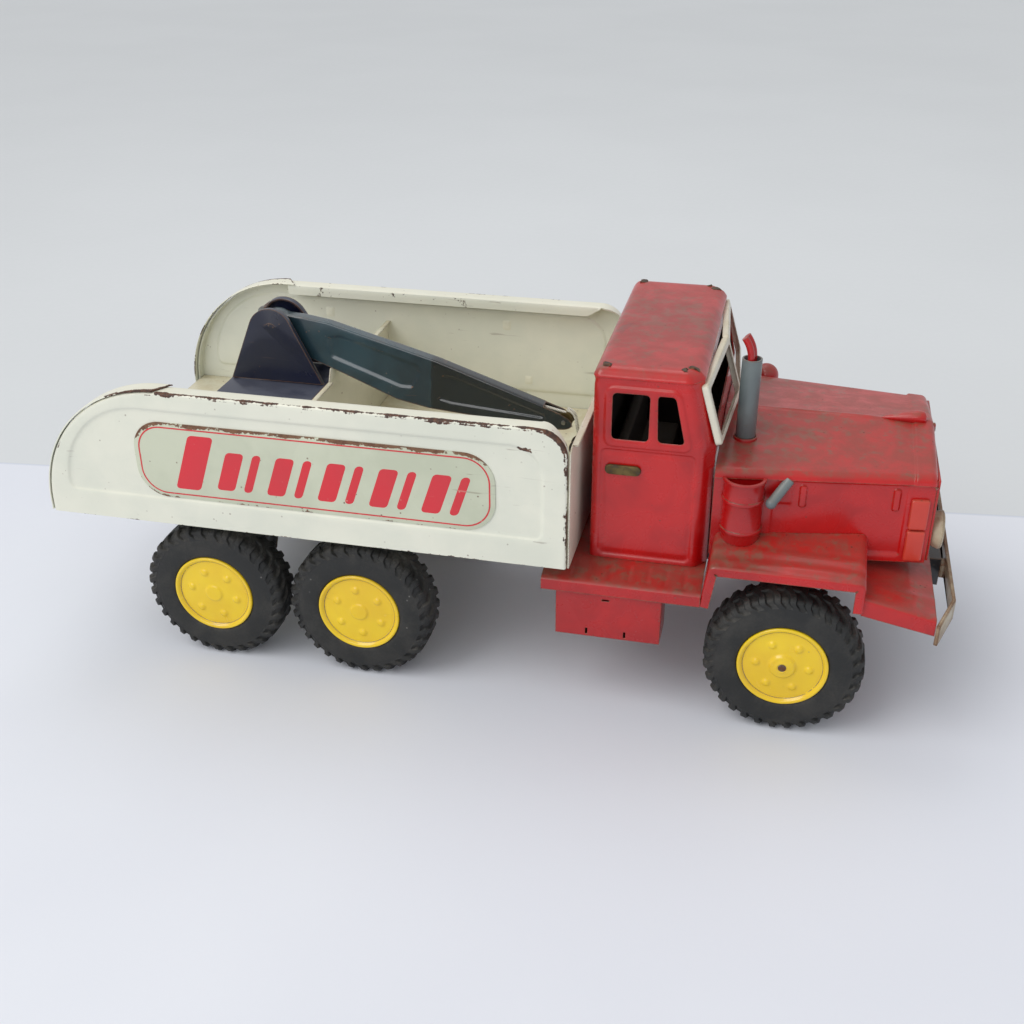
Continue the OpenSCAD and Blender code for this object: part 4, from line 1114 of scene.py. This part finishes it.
def raised_plate(name, loop, height, roll, to_frame, mat, slot, mirror=False, crown=0.0, step=1.2, holes=(),
                 **more):
    """A plate with a rolled edge on a counter-clockwise loop; to_frame turns (u, v, height) into a point."""
    way = normals(loop, True)
    p = np.array(loop)
    if np.mean(np.sum(way * (p - p.mean(0)), 1)) < 0:
        way = -way
    rows = []
    for a in [None] + [math.pi / 2 * k / 4 for k in range(5)]:
        d, z = (0.0, 0.0) if a is None else (roll * (1 - math.cos(a)), height - roll + roll * math.sin(a))
        rows.append([(*(q - o * d), z) for q, o in zip(p, way)])
    cap, cap_faces = flat_sheet([(u, v) for u, v, _ in rows[-1]], holes, step=step)
    points, faces = strips(rows, closed_cols=True)
    lift = crown * smooth(distance(cap, [(u, v) for u, v, _ in rows[-1]]), 0, 4)
    join(points, faces, [(u, v, height + float(c)) for (u, v), c in zip(cap, lift)], cap_faces)
    return make(name, [to_frame(u, v, z) for u, v, z in points], faces, mat, slot, mirror=mirror, **more)


def windshield_rim(side):
    """Half of the two-pane frame: a deep rolled rim, turned to the rake and sweep of its pane."""
    sweep, rake, depth, post = 4.1, 16.7, 2.8, 3.1
    turn = Matrix.Rotation(math.radians(-rake), 3, "Y") @ Matrix.Rotation(math.radians(-sweep), 3, "Z")
    pane = rrect(-53.0, post, -1.5, 27.5 - post, 1.6, 0.9)
    loop = rrect(-56.0, 0.0, -0.05, 27.5, 1.8, 0.9)
    raised_plate(f"windshield_rim_{word(side)}", loop, depth, 0.9,
                 lambda u, v, z: tuple(Vector((104.5, 0, SILL + 1.4)) + turn @ Vector((z - 2.2, u, v))),
                 "cream_trim", "cream_paint", mirror=side > 0, holes=[pane], out=(1, 0, 0.2), solid=0.5,
                 replaces=("windshield_frame",) if side < 0 else ())


def hood_blocks(side):
    for k, (low, high) in enumerate(((76.4, 90.8), (91.6, 105.6))):
        raised_plate(f"corner_block_{k}_{word(side)}", rrect(180.6, low, 188.2, high, 1.0, 0.8), 1.9, 0.8,
                     lambda u, v, z: (u, -hood_half(u) - z, v), "red_orange", "red_paint",
                     mirror=side > 0, crown=0.2)


def lathe(name, centre, profile, mat, slot, n=72, **more):
    """A turned piece about an upright axis; the profile is (radius, height)."""
    rows = []
    for i in range(n):
        t = 2 * math.pi * i / n
        rows.append([(centre[0] + r * math.cos(t), centre[1] + r * math.sin(t), z) for r, z in profile])
    points, faces = strips(rows, closed_rows=True)
    return make(name, points, faces, mat, slot, **more)


def ornament():
    """Drop-shaped ornament on the hood ridge, its blunt end forwards."""
    stations = [(167.0, 0.15), (168.0, 0.6), (170, 1.1), (173, 1.8), (176, 2.4), (179, 2.9), (182, 3.25),
                (183.6, 3.3), (184.8, 3.15), (185.6, 2.75), (186.1, 2.1), (186.35, 1.3), (186.45, 0.6),
                (186.5, 0.02)]
    rows = []
    for x, r in stations:
        base = 121.6 + 0.02 * (x - 167)
        rows.append([(x, r * math.cos(t) * 0.95, base + 0.3 + max(-0.9, math.sin(t)) * r * 0.95 + r * 0.35)
                     for t in [2 * math.pi * k / 36 for k in range(36)]])
    points, faces = strips(rows, closed_cols=True)
    make("hood_ornament", points, faces, "red", "red_paint", sharp=50)


def fender(side):
    path = ([(97.8, 60.6), (98.6, 66.0), (99.8, 74.0)] + arc((103.6, 77.2), 3.3, 168, 90, 6)
            + arc((161.8, 77.0), 3.5, 90, 0, 7) + [(165.3, 66.2)])
    path = spaced(path, 1.6)
    way = normals(path)
    outward = way if way[len(way) // 2][1] > 0 else -way
    slope = math.tan(math.radians(13.5))
    rows = []
    for (x, z), o in zip(path, outward):
        inner = hood_half(max(x, HOOD_REAR)) - 0.4
        up = ease(z, 62, 80.3)
        row = []
        for k in range(22):
            y = inner + (75.6 - inner) * k / 21
            rise = slope * (77 - y) * up
            ripple = 0.22 * math.sin(y * 0.8 + 0.4 * math.sin(x * 0.06)) * up * ease(y, 58, 62)
            ripple += 0.3 * math.sin(x * 0.09 + 1.0) * math.sin(y * 0.2) * up
            row.append((x, -y, z + rise + ripple * float(1 - smooth(y, 74, 75.6))))
        for a in (22, 45, 68, 90):
            t = math.radians(a)
            d = 1.4 * (1 - math.cos(t))
            row.append((x - o[0] * d, -(75.6 + 1.4 * math.sin(t)), z + slope * 1.4 * up - o[1] * d))
        for d in (2.2, 3.2, 4.2):
            row.append((x - o[0] * d, -77.0, z + slope * 0.6 * up - o[1] * d))
        rows.append(row)
    points, faces = strips(rows)
    more = {"replaces": ("fender_pan",)} if side < 0 else {}
    make(f"front_fender_{word(side)}", points, faces, "red_dusty", "red_paint", out=(0, 0, 1), solid=TIN,
         mirror=side > 0, sharp=42, **more)


def cross_sheet(name, xs, section, mat):
    """A sheet across the truck; section(x) gives the right side's (y, z) from the lip to the middle."""
    rows = []
    for x in xs:
        right = section(x)
        rows.append([(x, -y, z) for y, z in right] + [(x, y, z) for y, z in reversed(right[:-1])])
    points, faces = strips(rows)
    make(name, points, faces, mat, "red_paint", out=(0, 0, 1), solid=TIN, sharp=42)


def board_section(x):
    outer, inner = 65.8, 69.4
    slope = (inner - outer) / 16.0
    out = [(77.0, 60.2), (77.0, 62.4), (77.0, 64.4), (76.85, 65.1), (76.45, 65.6), (75.8, 65.95)]
    for y in np.linspace(74.8, 62.5, 14):
        groove = 0.32 * max(0.0, math.sin(x * 0.78)) ** 3
        lane = float(smooth(y, 62.5, 65) - smooth(y, 72, 75))
        out.append((y, outer + slope * (77 - y) - groove * lane))
    out += [(61.6, 69.25), (60.6, 69.38)] + [(y, inner) for y in (59, 45, 20, 0)]
    return out


def apron_section(x):
    along = (x - 164.5) / 30.5
    z = 72.0 - along * 6.4
    foot = 8.2 - 0.6 * along
    out = [(74.0, z - foot), (74.0, z - 5.5), (74.0, z - 3), (74.0, z - 1.5), (73.85, z - 0.8),
           (73.4, z - 0.25), (72.6, z)]
    for y in np.linspace(70, 0, 36):
        wave = 0.35 * math.exp(-((y - 60 + 0.1 * (x - 180)) / 2.2) ** 2) + 0.2 * math.sin(y * 0.23 + x * 0.1)
        out.append((y, z + wave * ease(x, 165, 170) * float(smooth(y, 48, 54) - smooth(y, 68, 71))))
    return out


hood_top()
for s in (-1, 1):
    hood_side(s)
    hood_blocks(s)
    fender(s)
    windshield_rim(s)
ornament()
lathe("stack_collar", (109.3, -27.0), [(4.2, 118.0), (4.35, 119.5), (4.7, 119.75), (5.1, 119.5), (5.3, 118.6),
                                       (5.2, 117.2), (5.6, 116.6)], "red", "red_paint", solid=0.4)
cross_sheet("running_boards", np.linspace(29.0, 98.4, 100), board_section, "red_dusty")
cross_sheet("front_apron", np.linspace(164.6, 195.0, 34), apron_section, "red_dusty")
dress("grille", "red", 0.3)
for s in (-1, 1):
    dress(f"headlamp_{word(s)}", "aged", 0.2)
dress("bumper", "aged", 0.35)
dress("half_drum", "red_drum", 0.25)
dress("duct_pipe", "grey", 0.0, 50)
dress("exhaust_stack", "grey", 0.2)
dress("exhaust_tips", "red", 0.0, 50)
dress("air_cleaner", "red_dusty", 0.2)
for s in (-1, 1):
    dress(f"toolbox_{word(s)}", "red", 0.5)

# ---------- under the truck ----------

for node in ("chassis_frame", "front_axle_bracket", "bogie_bracket"):
    dress(node, "black", 0.3)
for axle in ("front", "middle", "rear"):
    dress(f"axle_{axle}", "steel", 0.3)
